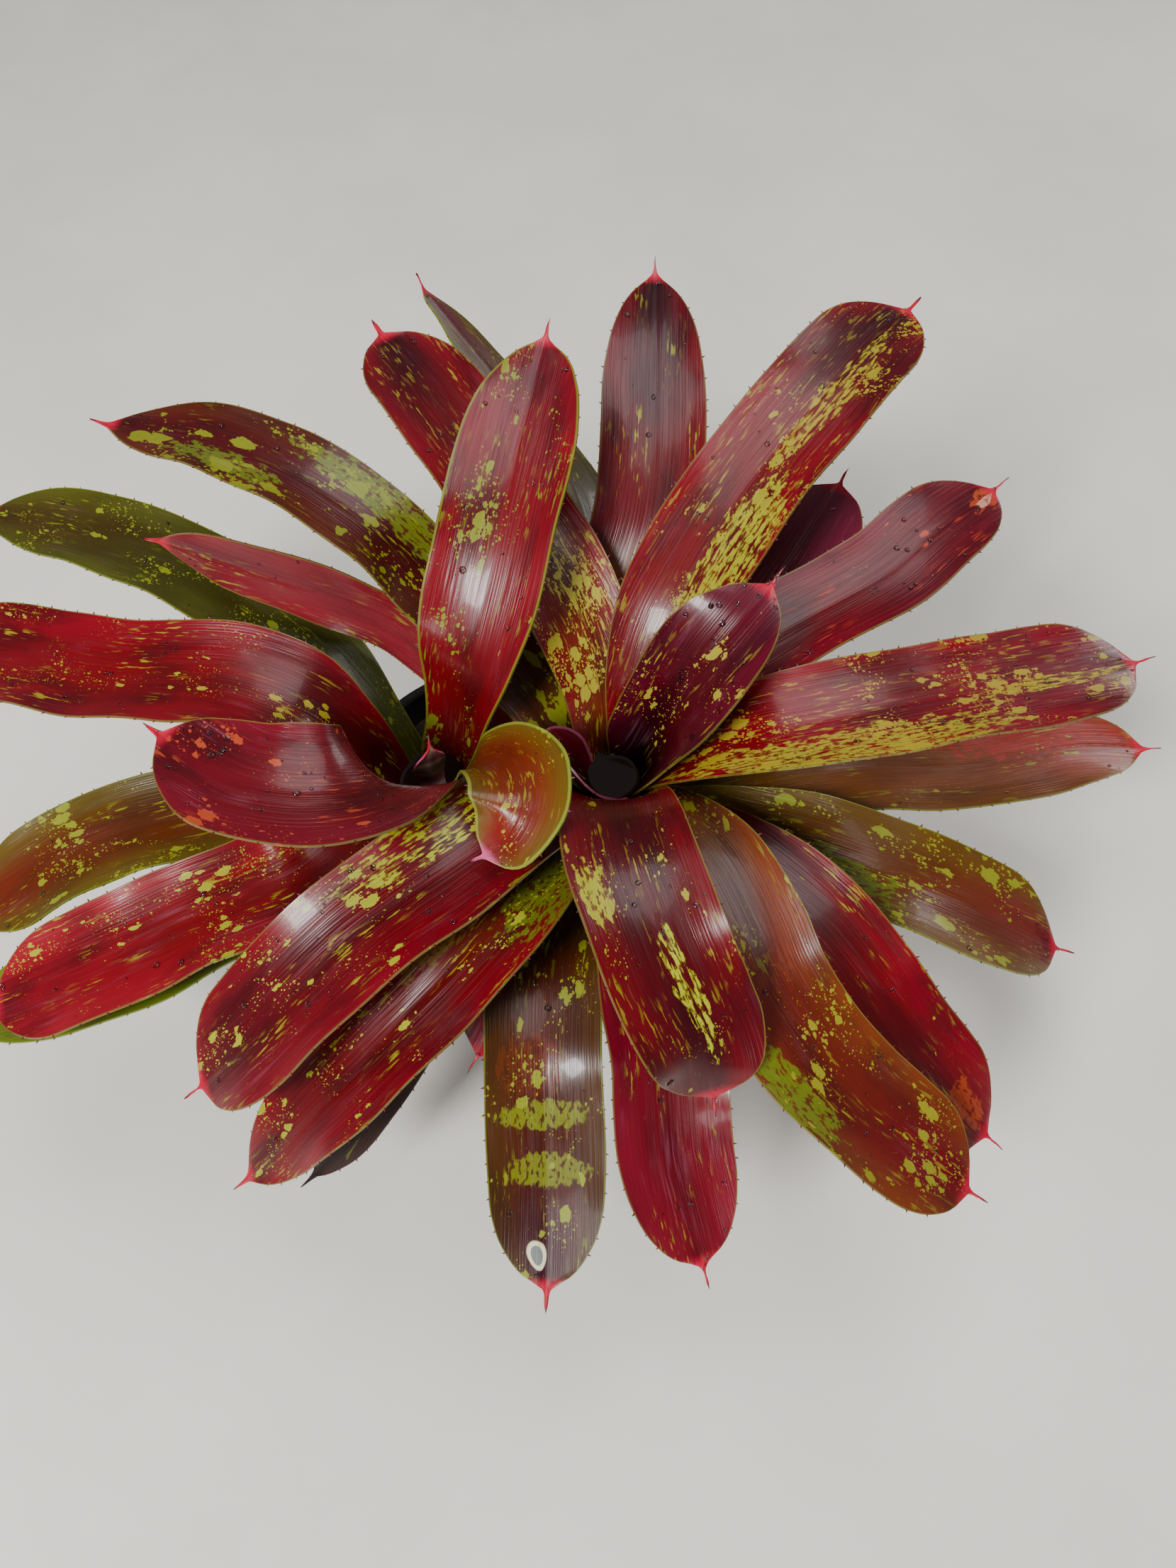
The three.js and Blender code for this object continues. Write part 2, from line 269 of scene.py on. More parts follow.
def copies(name: str, pattern: bpy.types.Object, places: Iterable[Matrix]) -> bpy.types.Object:
    """Make one mesh of copies of a modelled piece, and remove the piece.

    Args:
        name: Name of the new object.
        pattern: The piece to copy, modelled about the origin.
        places: A 4x4 matrix for each copy.

    Returns:
        The new object, with its places in its mesh.
    """
    base = np.array([vertex.co[:] for vertex in pattern.data.vertices])
    faces = [tuple(face.vertices) for face in pattern.data.polygons]
    points, polygons = [], []
    for place in places:
        start = len(points) * len(base)
        turn = np.array(place)
        points.append(base @ turn[:3, :3].T + turn[:3, 3])
        polygons.extend(tuple(start + corner for corner in face) for face in faces)
    mesh = bpy.data.meshes.new(name)
    mesh.from_pydata(np.concatenate(points).tolist(), [], polygons)
    mesh.polygons.foreach_set("use_smooth", [True] * len(mesh.polygons))
    mesh.update()
    piece = bpy.data.objects.new(name, mesh)
    bpy.context.scene.collection.objects.link(piece)
    bpy.data.objects.remove(pattern)
    return piece


def turned(name: str, profile: Sequence[tuple[float, float]], segments: int) -> bpy.types.Object:
    """Model a round piece about Z by extruding a ring from one profile point to the next.

    Args:
        name: Name of the new object.
        profile: Radius and height of each ring, in metres.
        segments: Sides of each ring.

    Returns:
        The piece, open at its first and last ring.
    """
    radius, height = profile[0]
    piece = add_primitive("circle", vertices=segments, radius=radius, location=(0, 0, height))
    piece.name = name
    apply_place(piece)
    with editing(piece):
        for next_radius, next_height in profile[1:]:
            rise = (0, 0, next_height - height)
            bpy.ops.mesh.extrude_region_move(TRANSFORM_OT_translate={"value": rise})
            spread, centre = next_radius / radius, (0, 0, next_height)
            bpy.ops.transform.resize(value=(spread, spread, 1), center_override=centre)
            radius, height = next_radius, next_height
    return piece


def cap_rings(piece: bpy.types.Object) -> None:
    """Close a round piece's open rings and turn its faces outwards.

    Args:
        piece: A piece made by turned.
    """
    with editing(piece):
        bpy.ops.mesh.remove_doubles(threshold=SAME_POINT)
        bpy.ops.mesh.select_all(action="DESELECT")
        bpy.ops.mesh.select_non_manifold(extend=False)
        bpy.ops.mesh.edge_face_add()
        bpy.ops.mesh.select_all(action="SELECT")
        bpy.ops.mesh.normals_make_consistent(inside=False)


# ---- Materials ----------------------------------------------------------------------------


def add_node(
    tree: bpy.types.NodeTree, kind: str, inputs: dict[Union[str, int], Value], **settings: object
) -> Socket:
    """Add a node with its settings, values and links.

    Args:
        tree: The node tree to add to.
        kind: Blender's node type.
        inputs: A value or an output socket for each input, by name or number.
        **settings: Values for the node's own properties.

    Returns:
        The node's first output in use.
    """
    node = tree.nodes.new(kind)
    for name, value in settings.items():
        setattr(node, name, value)
    sockets = [socket for socket in node.inputs if socket.enabled]
    for key, value in inputs.items():
        named = [s for s in sockets if s.name == key]
        socket = sockets[key] if isinstance(key, int) else named[0]
        if isinstance(value, bpy.types.NodeSocket):
            tree.links.new(value, socket)
        else:
            socket.default_value = value
    return next((output for output in node.outputs if output.enabled), None)


def new_material(name: str) -> tuple[bpy.types.Material, bpy.types.NodeTree]:
    """Start an empty node material.

    Args:
        name: The real material's name.

    Returns:
        The material and its cleared node tree.
    """
    material = bpy.data.materials.new(name)
    material.use_nodes = True
    material.node_tree.nodes.clear()
    return material, material.node_tree


def two_tones(
    tree: bpy.types.NodeTree, pattern: Socket, limits: tuple[float, float], dark: str, pale: str
) -> Socket:
    """Go from a dark to a pale colour as a pattern rises.

    Args:
        tree: The node tree to add to.
        pattern: The socket to read.
        limits: Values of the pattern for all dark and all pale.
        dark: Hex colour below the first limit.
        pale: Hex colour above the second.

    Returns:
        The colour.
    """
    inputs = {"Value": pattern, "From Min": limits[0], "From Max": limits[1]}
    share = add_node(tree, "ShaderNodeMapRange", inputs)
    colours = {"A": linear(dark), "B": linear(pale)}
    return add_node(tree, "ShaderNodeMix", {"Factor": share, **colours}, data_type="RGBA")


@dataclass(frozen=True)
class Patch:
    """One coloured area of a leaf: an ellipse with a ragged edge, in shares of the leaf."""

    colour: str
    along: float
    across: float
    length: float
    width: float
    ragged: float = 0.6
    strength: float = 1.0
    brushed: float = 0.0


@dataclass(frozen=True)
class LeafFinish:
    """Colours and markings of one leaf's upper side.

    A bromeliad leaf is a waxy, closely ribbed blade: it shines in fine lengthwise streaks, and
    its yellow-green spots are drawn out along the ribs.
    """

    foot: str = "#76141e"
    middle: str = "#8c0e24"
    outer: str = "#700e24"
    edge: str = "#9a1a30"
    shade: str = "#2c0510"
    shading: float = 0.55
    spot: str = "#b4b834"
    spots: float = 0.34
    spot_size: float = 4.4
    spot_reach: Reach = Reach.ALL
    spot_side: float = 0.0
    streaks: float = 0.12
    margin: str = "#8f8a40"
    margin_width: float = 0.35
    spine: str = "#c2304a"
    roughness: float = 0.25
    # Strength of a painted sheen: a pale haze painted into the colour in place of reflected light.
    painted_sheen: float = 0.1
    patches: tuple[Patch, ...] = ()


@dataclass
class LeafSkin:
    """Builds the node material of one leaf's upper side.

    Patterns run on the point attribute blade_mm (across, along and distance from the margin, in
    millimetres) and on the UV map blade_share (across and along, as shares of the leaf). Each of
    spot_layers is a size against the leaf's spots, a stretch, a share of the density and a shift.
    """

    finish: LeafFinish
    name: str
    seed: float
    length: float
    rib_spacing: float = 0.7
    rib_length: float = 60.0
    rib_height: float = 0.05
    rib_shade: float = 0.12
    swell: float = 0.35
    depth: float = 1.5
    blue_depth: float = 1.35
    spot_cover: float = 0.88
    spot_layers: tuple[tuple[float, float, float, float], ...] = (
        (1.0, 1.9, 1.0, 2.0), (0.42, 1.5, 0.75, 7.0), (0.2, 1.3, 0.8, 13.0),
    )
    # Colour of the painted sheen, a pale lilac standing for reflected light.
    painted_sheen_haze: str = "#b98a98"
    spine_tip: str = "#5a1a20"

    def __post_init__(self) -> None:
        """Start the material and its coordinates, shifted so that no two leaves match."""
        self.material, self.tree = new_material(self.name)
        blade = self.add("ShaderNodeAttribute", {}, attribute_name="blade_mm")
        place = blade.node.outputs["Vector"]
        offset = (self.seed * 17.3, self.seed * 41.9, 0.0)
        self.place = self.add("ShaderNodeVectorMath", {0: place, 1: offset}, operation="ADD")
        parts = self.add("ShaderNodeSeparateXYZ", {0: place}).node.outputs
        self.along, self.margin = parts[1], parts[2]
        uv = self.add("ShaderNodeUVMap", {}, uv_map="blade_share")
        shares = self.add("ShaderNodeSeparateXYZ", {0: uv}).node.outputs
        self.across_share, self.along_share = shares[0], shares[1]

    def add(self, kind: str, inputs: dict[Union[str, int], Value], **settings: object) -> Socket:
        """Add a node to this material; see add_node."""
        return add_node(self.tree, kind, inputs, **settings)

    def step(
        self, value: Value, start: float, end: float, low: float = 0.0, high: float = 1.0
    ) -> Socket:
        """Ease from low to high as a value goes from start to end.

        Args:
            value: The socket to read.
            start: Where the step begins.
            end: Where it ends.
            low: Result before the step.
            high: Result after it.

        Returns:
            The eased value.
        """
        inputs = {"Value": value, "From Min": start, "From Max": end, "To Min": low, "To Max": high}
        return self.add("ShaderNodeMapRange", inputs, interpolation_type="SMOOTHSTEP")

    def pigment(self, hex_colour: str) -> tuple[float, float, float, float]:
        """Turn a hex colour into a leaf pigment, deepened so that it stays rich in bright light.

        Args:
            hex_colour: The colour that the eye sees.

        Returns:
            Linear RGBA.
        """
        red, green, blue, alpha = linear(hex_colour)
        return (red**self.depth, green**self.depth, blue**self.blue_depth, alpha)

    def times(self, *values: Value) -> Socket:
        """Multiply several values together."""
        product = values[0]
        for value in values[1:]:
            product = self.add("ShaderNodeMath", {0: product, 1: value}, operation="MULTIPLY")
        return product

    def blended(self, share: Value, below: Value, above: Value) -> Socket:
        """Lay one colour over another by a share."""
        inputs = {"Factor": share, "A": below, "B": above}
        return self.add("ShaderNodeMix", inputs, data_type="RGBA")

    def grain(self, across: float, along: float, detail: float = 2.0, shift: float = 0.0) -> Socket:
        """Lay noise on the blade, stretched along it.

        Args:
            across: Size of its features across the leaf, in millimetres.
            along: Their size along the leaf.
            detail: How many finer layers it has.
            shift: Moves the pattern, so that two grains differ.

        Returns:
            Noise from 0 to 1.
        """
        inputs = {0: self.scaled(across, along), 1: (shift, shift, 0.0)}
        moved = self.add("ShaderNodeVectorMath", inputs, operation="ADD")
        return self.add("ShaderNodeTexNoise", {"Vector": moved, "Scale": 1.0, "Detail": detail})

    def scaled(self, across: float, along: float) -> Socket:
        """Scale the blade's coordinates so that one unit is a length across and one along."""
        scale = (1 / across, 1 / along, 0.0)
        return self.add("ShaderNodeVectorMath", {0: self.place, 1: scale}, operation="MULTIPLY")

    def within(self, reach: Reach) -> Socket:
        """Limit a pattern to part of the leaf's length."""
        start, full, last, end = reach.value
        rise = self.step(self.along_share, start, full)
        return self.times(rise, self.step(self.along_share, last, end, 1.0, 0.0))

    def side(self, lean: float) -> Socket:
        """Favour the left (negative) or the right side of the leaf by a lean from -1 to 1."""
        return self.step(self.across_share, 0.2, 0.8, 1 - max(lean, 0), 1 + min(lean, 0))

    def spot_mask(self, size: float, stretch: float, density: Value, shift: float) -> Socket:
        """Scatter spots over the blade.

        Args:
            size: Spacing of the spots across the leaf, in millimetres.
            stretch: How much longer than wide they are.
            density: Share of the places that hold a spot.
            shift: Moves the pattern.

        Returns:
            1 inside a spot and 0 outside.
        """
        wobble = self.times(self.grain(size * 0.4, size * 0.6, 4.0, shift), 0.75)
        bend = self.add("ShaderNodeCombineXYZ", {0: wobble, 1: wobble, 2: 0.0})
        place = self.scaled(size, size * stretch)
        for move in (bend, (shift, shift * 2, 0.0)):
            place = self.add("ShaderNodeVectorMath", {0: place, 1: move}, operation="ADD")
        inputs = {"Vector": place, "Scale": 1.0}
        cells = self.add("ShaderNodeTexVoronoi", inputs, voronoi_dimensions="2D").node.outputs
        chance = self.add("ShaderNodeSeparateColor", {0: cells["Color"]})
        excess = self.add("ShaderNodeMath", {0: chance, 1: density}, operation="ADD")
        over = self.add("ShaderNodeMath", {0: excess, 1: 1.0}, operation="SUBTRACT")
        radius = self.step(over, 0.0, 0.55, 0.0, 0.52)
        inside = self.add("ShaderNodeMath", {0: radius, 1: cells["Distance"]}, operation="SUBTRACT")
        return self.step(inside, 0.0, 0.05)

    def patch_mask(self, patch: Patch, shift: float) -> Socket:
        """Mark one patch of colour.

        Args:
            patch: Where it lies and how ragged it is.
            shift: Moves its ragged edge's noise.

        Returns:
            Its strength over the blade.
        """
        ratios = []
        for share, centre, size in (
            (self.across_share, patch.across, patch.width),
            (self.along_share, patch.along, patch.length),
        ):
            off = self.add("ShaderNodeMath", {0: share, 1: centre}, operation="SUBTRACT")
            ratio = self.times(off, 2 / size)
            ratios.append(self.times(ratio, ratio))
        far = self.add("ShaderNodeMath", {0: ratios[0], 1: ratios[1]}, operation="ADD")
        near = self.grain(2.6, 6.5, 5.0, shift)
        rough = self.add("ShaderNodeMath", {0: near, 1: 0.5}, operation="SUBTRACT")
        torn = self.times(rough, patch.ragged * 4)
        edge = self.add("ShaderNodeMath", {0: torn, 1: far}, operation="ADD")
        mask = self.step(edge, 0.75, 1.05, patch.strength, 0.0)
        if patch.ragged > 0.4:
            flecks = self.grain(1.5, 3.4, 4.0, shift + 3)
            mask = self.times(mask, self.step(flecks, 0.40, 0.48, 0.1, 1.0))
        if patch.brushed:
            lines = self.grain(1.4, 10.0, 4.0, shift + 5)
            start, end = 0.62 - patch.brushed * 0.3, 0.66 - patch.brushed * 0.2
            mask = self.times(mask, self.step(lines, start, end))
        return mask

    def colour(self) -> Socket:
        """Lay the leaf's colours: tone, shading, edge, streaks, spots, patches, painted sheen,
        margin and spine.

        Returns:
            The finished colour.
        """
        f = self.finish
        tone = self.toned()
        for number, patch in enumerate(f.patches):
            mask = self.patch_mask(patch, 2.7 * number + 1)
            tone = self.blended(mask, tone, self.pigment(patch.colour))
        self.marks = self.marked()
        spot, middle = self.pigment(f.spot), self.pigment(f.middle)
        uneven_spot = self.blended(self.grain(4.0, 6.0, 2.0, 2.0), spot, middle)
        tone = self.blended(
            self.times(self.marks, self.spot_cover), tone, self.blended(0.2, spot, uneven_spot)
        )
        # Painted sheen: pale lilac streaks along the ribs, painted into the colour where the gloss
        # would reflect light.
        if f.painted_sheen:
            painted_sheen_haze = self.times(self.step(self.grain(1.0, 26.0, 2.0, 41.0), 0.45, 0.75), f.painted_sheen)
            painted_sheen_haze = self.times(painted_sheen_haze, self.step(self.grain(14.0, 38.0, 2.0, 51.0), 0.5, 0.7))
            tone = self.blended(painted_sheen_haze, tone, self.pigment(self.painted_sheen_haze))
        thin = self.step(self.margin, f.margin_width, f.margin_width * 1.6, 1.0, 0.0)
        tip = self.length
        for share, colour in (
            (self.times(thin, 0.6), f.margin),
            (self.step(self.along, tip - 15, tip - 9), f.spine),
            (self.step(self.along, tip - 4, tip), self.spine_tip),
        ):
            tone = self.blended(share, tone, self.pigment(colour))
        return tone

    def toned(self) -> Socket:
        """Colour the bare blade: foot, middle and outer part, then edge, clouds and ribs.

        Returns:
            The blade's colour before its markings.
        """
        f = self.finish
        uneven = self.times(self.grain(30.0, 60.0, 2.0, 3.0), 0.3)
        run = self.add("ShaderNodeMath", {0: self.along_share, 1: uneven}, operation="ADD")
        off = self.add("ShaderNodeMath", {0: self.across_share, 1: 0.5}, operation="SUBTRACT")
        sideways = self.add("ShaderNodeMath", {0: off}, operation="ABSOLUTE")
        clouds = self.step(self.grain(13.0, 45.0, 3.0, 9.0), 0.4, 0.7)
        self.ribs = self.step(self.grain(self.rib_spacing, self.rib_length, 2.0), 0.35, 0.7)
        tone = self.pigment(f.foot)
        for share, colour in (
            (self.step(run, 0.25, 0.6), f.middle),
            (self.step(run, 0.7, 1.1), f.outer),
            (self.times(self.step(sideways, 0.12, 0.5), 0.65), f.edge),
            (self.times(clouds, f.shading), f.shade),
            (self.times(self.ribs, self.rib_shade), f.shade),
        ):
            tone = self.blended(share, tone, self.pigment(colour))
        return tone

    def marked(self) -> Socket:
        """Scatter large spots, small spots and specks in groups, with fine streaks between.

        Returns:
            1 on a mark and 0 off it.
        """
        f = self.finish
        groups = self.step(self.grain(16.0, 34.0, 2.0, 21.0), 0.36, 0.66)
        reach, side = self.within(f.spot_reach), self.side(f.spot_side)
        where = self.times(groups, reach, side, f.spots * 1.6)
        streaks = self.step(self.grain(1.2, 9.0, 4.0, 31.0), 0.56, 0.62)
        broad = self.step(self.grain(9.0, 40.0, 2.0, 17.0), 0.62 - f.streaks, 0.72)
        marks = self.times(streaks, broad, 0.8)
        for scale, stretch, share, shift in self.spot_layers:
            density = self.times(where, share)
            spots = self.spot_mask(f.spot_size * scale, stretch, density, shift)
            marks = self.add("ShaderNodeMath", {0: marks, 1: spots}, operation="MAXIMUM")
        return marks

    def build(self) -> bpy.types.Material:
        """Join colour, gloss and ribs in one shader.

        Returns:
            The finished material.
        """
        f = self.finish
        colour = self.colour()
        gloss = self.step(self.ribs, 0.0, 1.0, f.roughness, f.roughness + 0.13)
        matt = self.times(self.marks, 0.06)
        rough = self.add("ShaderNodeMath", {0: gloss, 1: matt}, operation="ADD")
        fine = self.times(self.ribs, self.rib_height)
        swell = self.times(self.grain(7.0, 30.0, 2.0, 61.0), self.swell)
        height = self.add("ShaderNodeMath", {0: fine, 1: swell}, operation="ADD")
        bump = self.add("ShaderNodeBump", {"Height": height, "Strength": 0.9, "Distance": MM})
        shader = self.add("ShaderNodeBsdfPrincipled", {
            "Base Color": colour, "Roughness": rough, "Normal": bump, "Specular IOR Level": 0.3,
            "Coat Weight": 0.12, "Coat Roughness": 0.09,
        })
        self.add("ShaderNodeOutputMaterial", {"Surface": shader})
        return self.material


@dataclass(frozen=True)
class UnderFinish:
    """Underside of a leaf: duller, with the grey cross bands of its water scales."""

    name: str = "leaf underside, scaled"
    dark: str = "#5d2a30"
    pale: str = "#8a7a62"
    band: float = 7.0
    relief: float = 0.2 * MM

    def build(self) -> bpy.types.Material:
        """Make the material.

        Returns:
            The finished material.
        """
        material, tree = new_material(self.name)
        blade = add_node(tree, "ShaderNodeAttribute", {}, attribute_name="blade_mm")
        place = blade.node.outputs["Vector"]
        grains = []
        for scale, detail in (((1 / 30, 1 / self.band, 0.0), 4.0), ((1.0, 0.02, 0.0), 2.0)):
            inputs = {0: place, 1: scale}
            laid = add_node(tree, "ShaderNodeVectorMath", inputs, operation="MULTIPLY")
            inputs = {"Vector": laid, "Scale": 1.0, "Detail": detail}
            grains.append(add_node(tree, "ShaderNodeTexNoise", inputs))
        bands, ribs = grains
        colour = two_tones(tree, bands, (0.4, 0.65), self.dark, self.pale)
        relief = {"Height": ribs, "Strength": 0.6, "Distance": self.relief}
        bump = add_node(tree, "ShaderNodeBump", relief)
        shader = add_node(tree, "ShaderNodeBsdfPrincipled", {
            "Base Color": colour, "Roughness": 0.5, "Normal": bump, "IOR": 1.45,
        })
        add_node(tree, "ShaderNodeOutputMaterial", {"Surface": shader})
        return material


@dataclass(frozen=True)
class GrainFinish:
    """A solid material with a two-colour grain and a matching fine relief."""

    name: str
    dark: str
    pale: str
    grain: float
    roughness: float
    relief: float
    contrast: tuple[float, float] = (0.4, 0.6)
    rough_change: float = 0.15
    specular: float = 0.5

    def build(self) -> bpy.types.Material:
        """Make the material.

        Returns:
            The finished material.
        """
        material, tree = new_material(self.name)
        place = add_node(tree, "ShaderNodeTexCoord", {}).node.outputs["Object"]
        per_metre = 1 / (self.grain * MM)
        grains = []
        for scale, detail in ((per_metre / 6, 3.0), (per_metre, 5.0)):
            inputs = {"Vector": place, "Scale": scale, "Detail": detail}
            grains.append(add_node(tree, "ShaderNodeTexNoise", inputs))
        broad, fine = grains
        colour = two_tones(tree, broad, self.contrast, self.dark, self.pale)
        smoothest, roughest = self.roughness - self.rough_change, self.roughness + self.rough_change
        rough = add_node(tree, "ShaderNodeMapRange", {
            "Value": fine, "From Min": 0.3, "From Max": 0.7,
            "To Min": smoothest, "To Max": roughest,
        })
        bump = add_node(tree, "ShaderNodeBump", {
            "Height": fine, "Strength": 0.8, "Distance": self.relief * MM,
        })
        shader = add_node(tree, "ShaderNodeBsdfPrincipled", {
            "Base Color": colour, "Roughness": rough, "Normal": bump,
            "Specular IOR Level": self.specular,
        })
        add_node(tree, "ShaderNodeOutputMaterial", {"Surface": shader})
        return material


@dataclass(frozen=True)
class WaterFinish:
    """Water, with a mirror-like skin: clear in a drop; in a leaf cup opaque and near black, a
    painted shade of the deep cup.
    """

    name: str = "clear water"
    tint_or_painted_shade: str = "#eef3f0"
    clearness: float = 1.0
    specular: float = 0.5
    ripples: float = 60.0
    ripple_height: float = 0.2 * MM

    def build(self) -> bpy.types.Material:
        """Make the material.

        Returns:
            The finished material.
        """
        material, tree = new_material(self.name)
        place = add_node(tree, "ShaderNodeTexCoord", {}).node.outputs["Object"]
        inputs = {"Vector": place, "Scale": self.ripples, "Detail": 1.0}
        ripple = add_node(tree, "ShaderNodeTexNoise", inputs)
        relief = {"Height": ripple, "Strength": 0.3, "Distance": self.ripple_height}
        bump = add_node(tree, "ShaderNodeBump", relief)
        shader = add_node(tree, "ShaderNodeBsdfPrincipled", {
            "Base Color": linear(self.tint_or_painted_shade), "Roughness": 0.03, "IOR": 1.333,
            "Transmission Weight": self.clearness, "Normal": bump,
            "Specular IOR Level": self.specular,
        })
        add_node(tree, "ShaderNodeOutputMaterial", {"Surface": shader})
        return material


# Injection-moulded polypropylene: satin black, with a fine spark-eroded grain.
POT_FINISH = GrainFinish("moulded polypropylene", "#141415", "#1d1c1b", 0.5, 0.42, 0.05)
# Composted bark: matt, dark when damp, with paler torn fibres.
BARK_FINISH = GrainFinish("damp bark", "#24150d", "#5a3a22", 1.2, 0.8, 0.6)
SOIL_FINISH = GrainFinish("peat and bark fines", "#1c120c", "#3a2717", 0.9, 0.9, 0.8)
# Expanded volcanic glass: chalky white and pitted.
PERLITE_FINISH = GrainFinish("perlite", "#cfc9bb", "#f2efe6", 0.5, 0.85, 0.2)
STEM_FINISH = GrainFinish("leaf-scarred stem", "#5a4522", "#8a8040", 2.0, 0.6, 0.4)
SPINE_FINISH = GrainFinish("horny leaf spine", "#3a1016", "#6a1c26", 0.4, 0.35, 0.02)
FLOOR_FINISH = GrainFinish("matt painted floor", "#d4d0c8", "#dad6ce", 30.0, 0.75, 0.05)


# ---- Leaves -------------------------------------------------------------------------------


@dataclass
class BladeSurface:
    """Smooth upper surface of a leaf, read from its CAD solid.

    The solid is a thin shell: a grid of points on top, the same grid below, and narrow walls
    between them. The top grid is picked out, put in rows from foot to tip, and interpolated.
    """

    node: str
    axis: Vector
    columns: int = 7
    spine_steps: int = 9
    skin: float = 0.9 * MM
    tolerance: float = 0.002 * MM
    probe_row: int = 3

    def __post_init__(self) -> None:
        """Read the grid and measure along it."""
        self.grid = self._top_grid()
        middle = self.grid[:, self.columns // 2]
        steps = np.linalg.norm(np.diff(middle, axis=0), axis=1)
        self.knots = np.concatenate([[0], np.cumsum(steps)])
        self.length = float(self.knots[-1])
        self.spine_start = float(self.knots[-2])

    def _sides(self, points: np.ndarray, faces: np.ndarray) -> list[list[int]]:
        """Split the shell into its two broad sides, leaving out the walls along its rim.

        Args:
            points: All points of the solid.
            faces: All its triangles.

        Returns:
            The triangle numbers of each side.
        """
        beside: dict[tuple[int, int], list[int]] = {}
        walls = set()
        for number, face in enumerate(faces):
            for a, b in zip(face, np.roll(face, -1)):
                beside.setdefault((min(a, b), max(a, b)), []).append(number)
                if abs(np.linalg.norm(points[a] - points[b]) - self.skin) < self.tolerance:
                    walls.add(number)
        joined: list[list[int]] = [[] for _ in faces]
        for one, other in beside.values():
            joined[one].append(other)
            joined[other].append(one)
        sides, seen = [], set(walls)
        for first in range(len(faces)):
            if first in seen:
                continue
            seen.add(first)
            side, queue = [], [first]
            while queue:
                face = queue.pop()
                side.append(face)
                fresh = [other for other in joined[face] if other not in seen]
                seen.update(fresh)
                queue.extend(fresh)
            sides.append(side)
        if len(sides) != 2 or len(sides[0]) != len(sides[1]):
            raise ValueError(f"{self.node} has no two matching sides")
        return sides

    def _rows(self, points: np.ndarray, faces: np.ndarray) -> np.ndarray:
        """Put one side's points in rows from foot to tip.

        Args:
            points: All points of the solid.
            faces: The triangles of that side.

        Returns:
            Points by row and column, the columns running to the right seen from outside.
        """
        uses: dict[tuple[int, int], int] = {}
        near: dict[int, set[int]] = {}
        for face in faces:
            for a, b in zip(face, np.roll(face, -1)):
                uses[(min(a, b), max(a, b))] = uses.get((min(a, b), max(a, b)), 0) + 1
                near.setdefault(a, set()).add(b)
                near.setdefault(b, set()).add(a)
        rim = {edge for edge, count in uses.items() if count == 1}
        outer = sorted({corner for edge in rim for corner in edge})
        centre = self.axis[:2]
        reach = {corner: math.dist(points[corner][:2], centre) for corner in outer}
        row = set(sorted(outer, key=reach.get)[: self.columns])
        seen, rows = set(row), [row]
        while True:
            row = {other for corner in row for other in near[corner]} - seen
            if not row:
                break
            seen |= row
            rows.append(row)
        ordered = []
        for row in rows:
            ends = [corner for corner in row if len(near[corner] & row) == 1]
            first = min(ends)
            if ordered:
                before = ordered[-1][0]
                first = next(c for c in ends if (min(c, before), max(c, before)) in rim)
            line = [first]
            while len(line) < len(row):
                line.append(next(c for c in near[line[-1]] & row if c not in line))
            ordered.append(line)
        grid = points[np.array(ordered)]
        middle, probe = grid[:, self.columns // 2], self.probe_row
        across = grid[probe, -1] - grid[probe, 0]
        along = middle[probe + 1] - middle[probe - 1]
        corners = points[faces]
        off = np.linalg.norm(corners.mean(axis=1) - middle[probe], axis=1)
        first, second, third = corners[np.argmin(off)]
        outward = np.cross(second - first, third - first)
        return grid if np.cross(across, along) @ outward > 0 else grid[:, ::-1]

    def _top_grid(self) -> np.ndarray:
        """Find the solid's two broad sides and return the one that faces the stem."""
        points, faces = read_node(self.node)
        sides = self._sides(points, faces)
        grids = [self._rows(points, faces[side]) for side in sides]
        axis = np.array(self.axis[:2])
        return min(grids, key=lambda grid: np.linalg.norm(grid[0, :, :2] - axis, axis=1).mean())

    def sample(self, along: np.ndarray, across: np.ndarray) -> np.ndarray:
        """Read the smooth surface.

        Args:
            along: Distances from the foot, in metres.
            across: Shares of the width, 0 at the left margin and 1 at the right.

        Returns:
            Points by row and column.
        """
        rows = through(self.knots, self.grid, along)
        places = np.linspace(0, 1, self.columns)
        return through(places, rows.transpose(1, 0, 2), across).transpose(1, 0, 2)


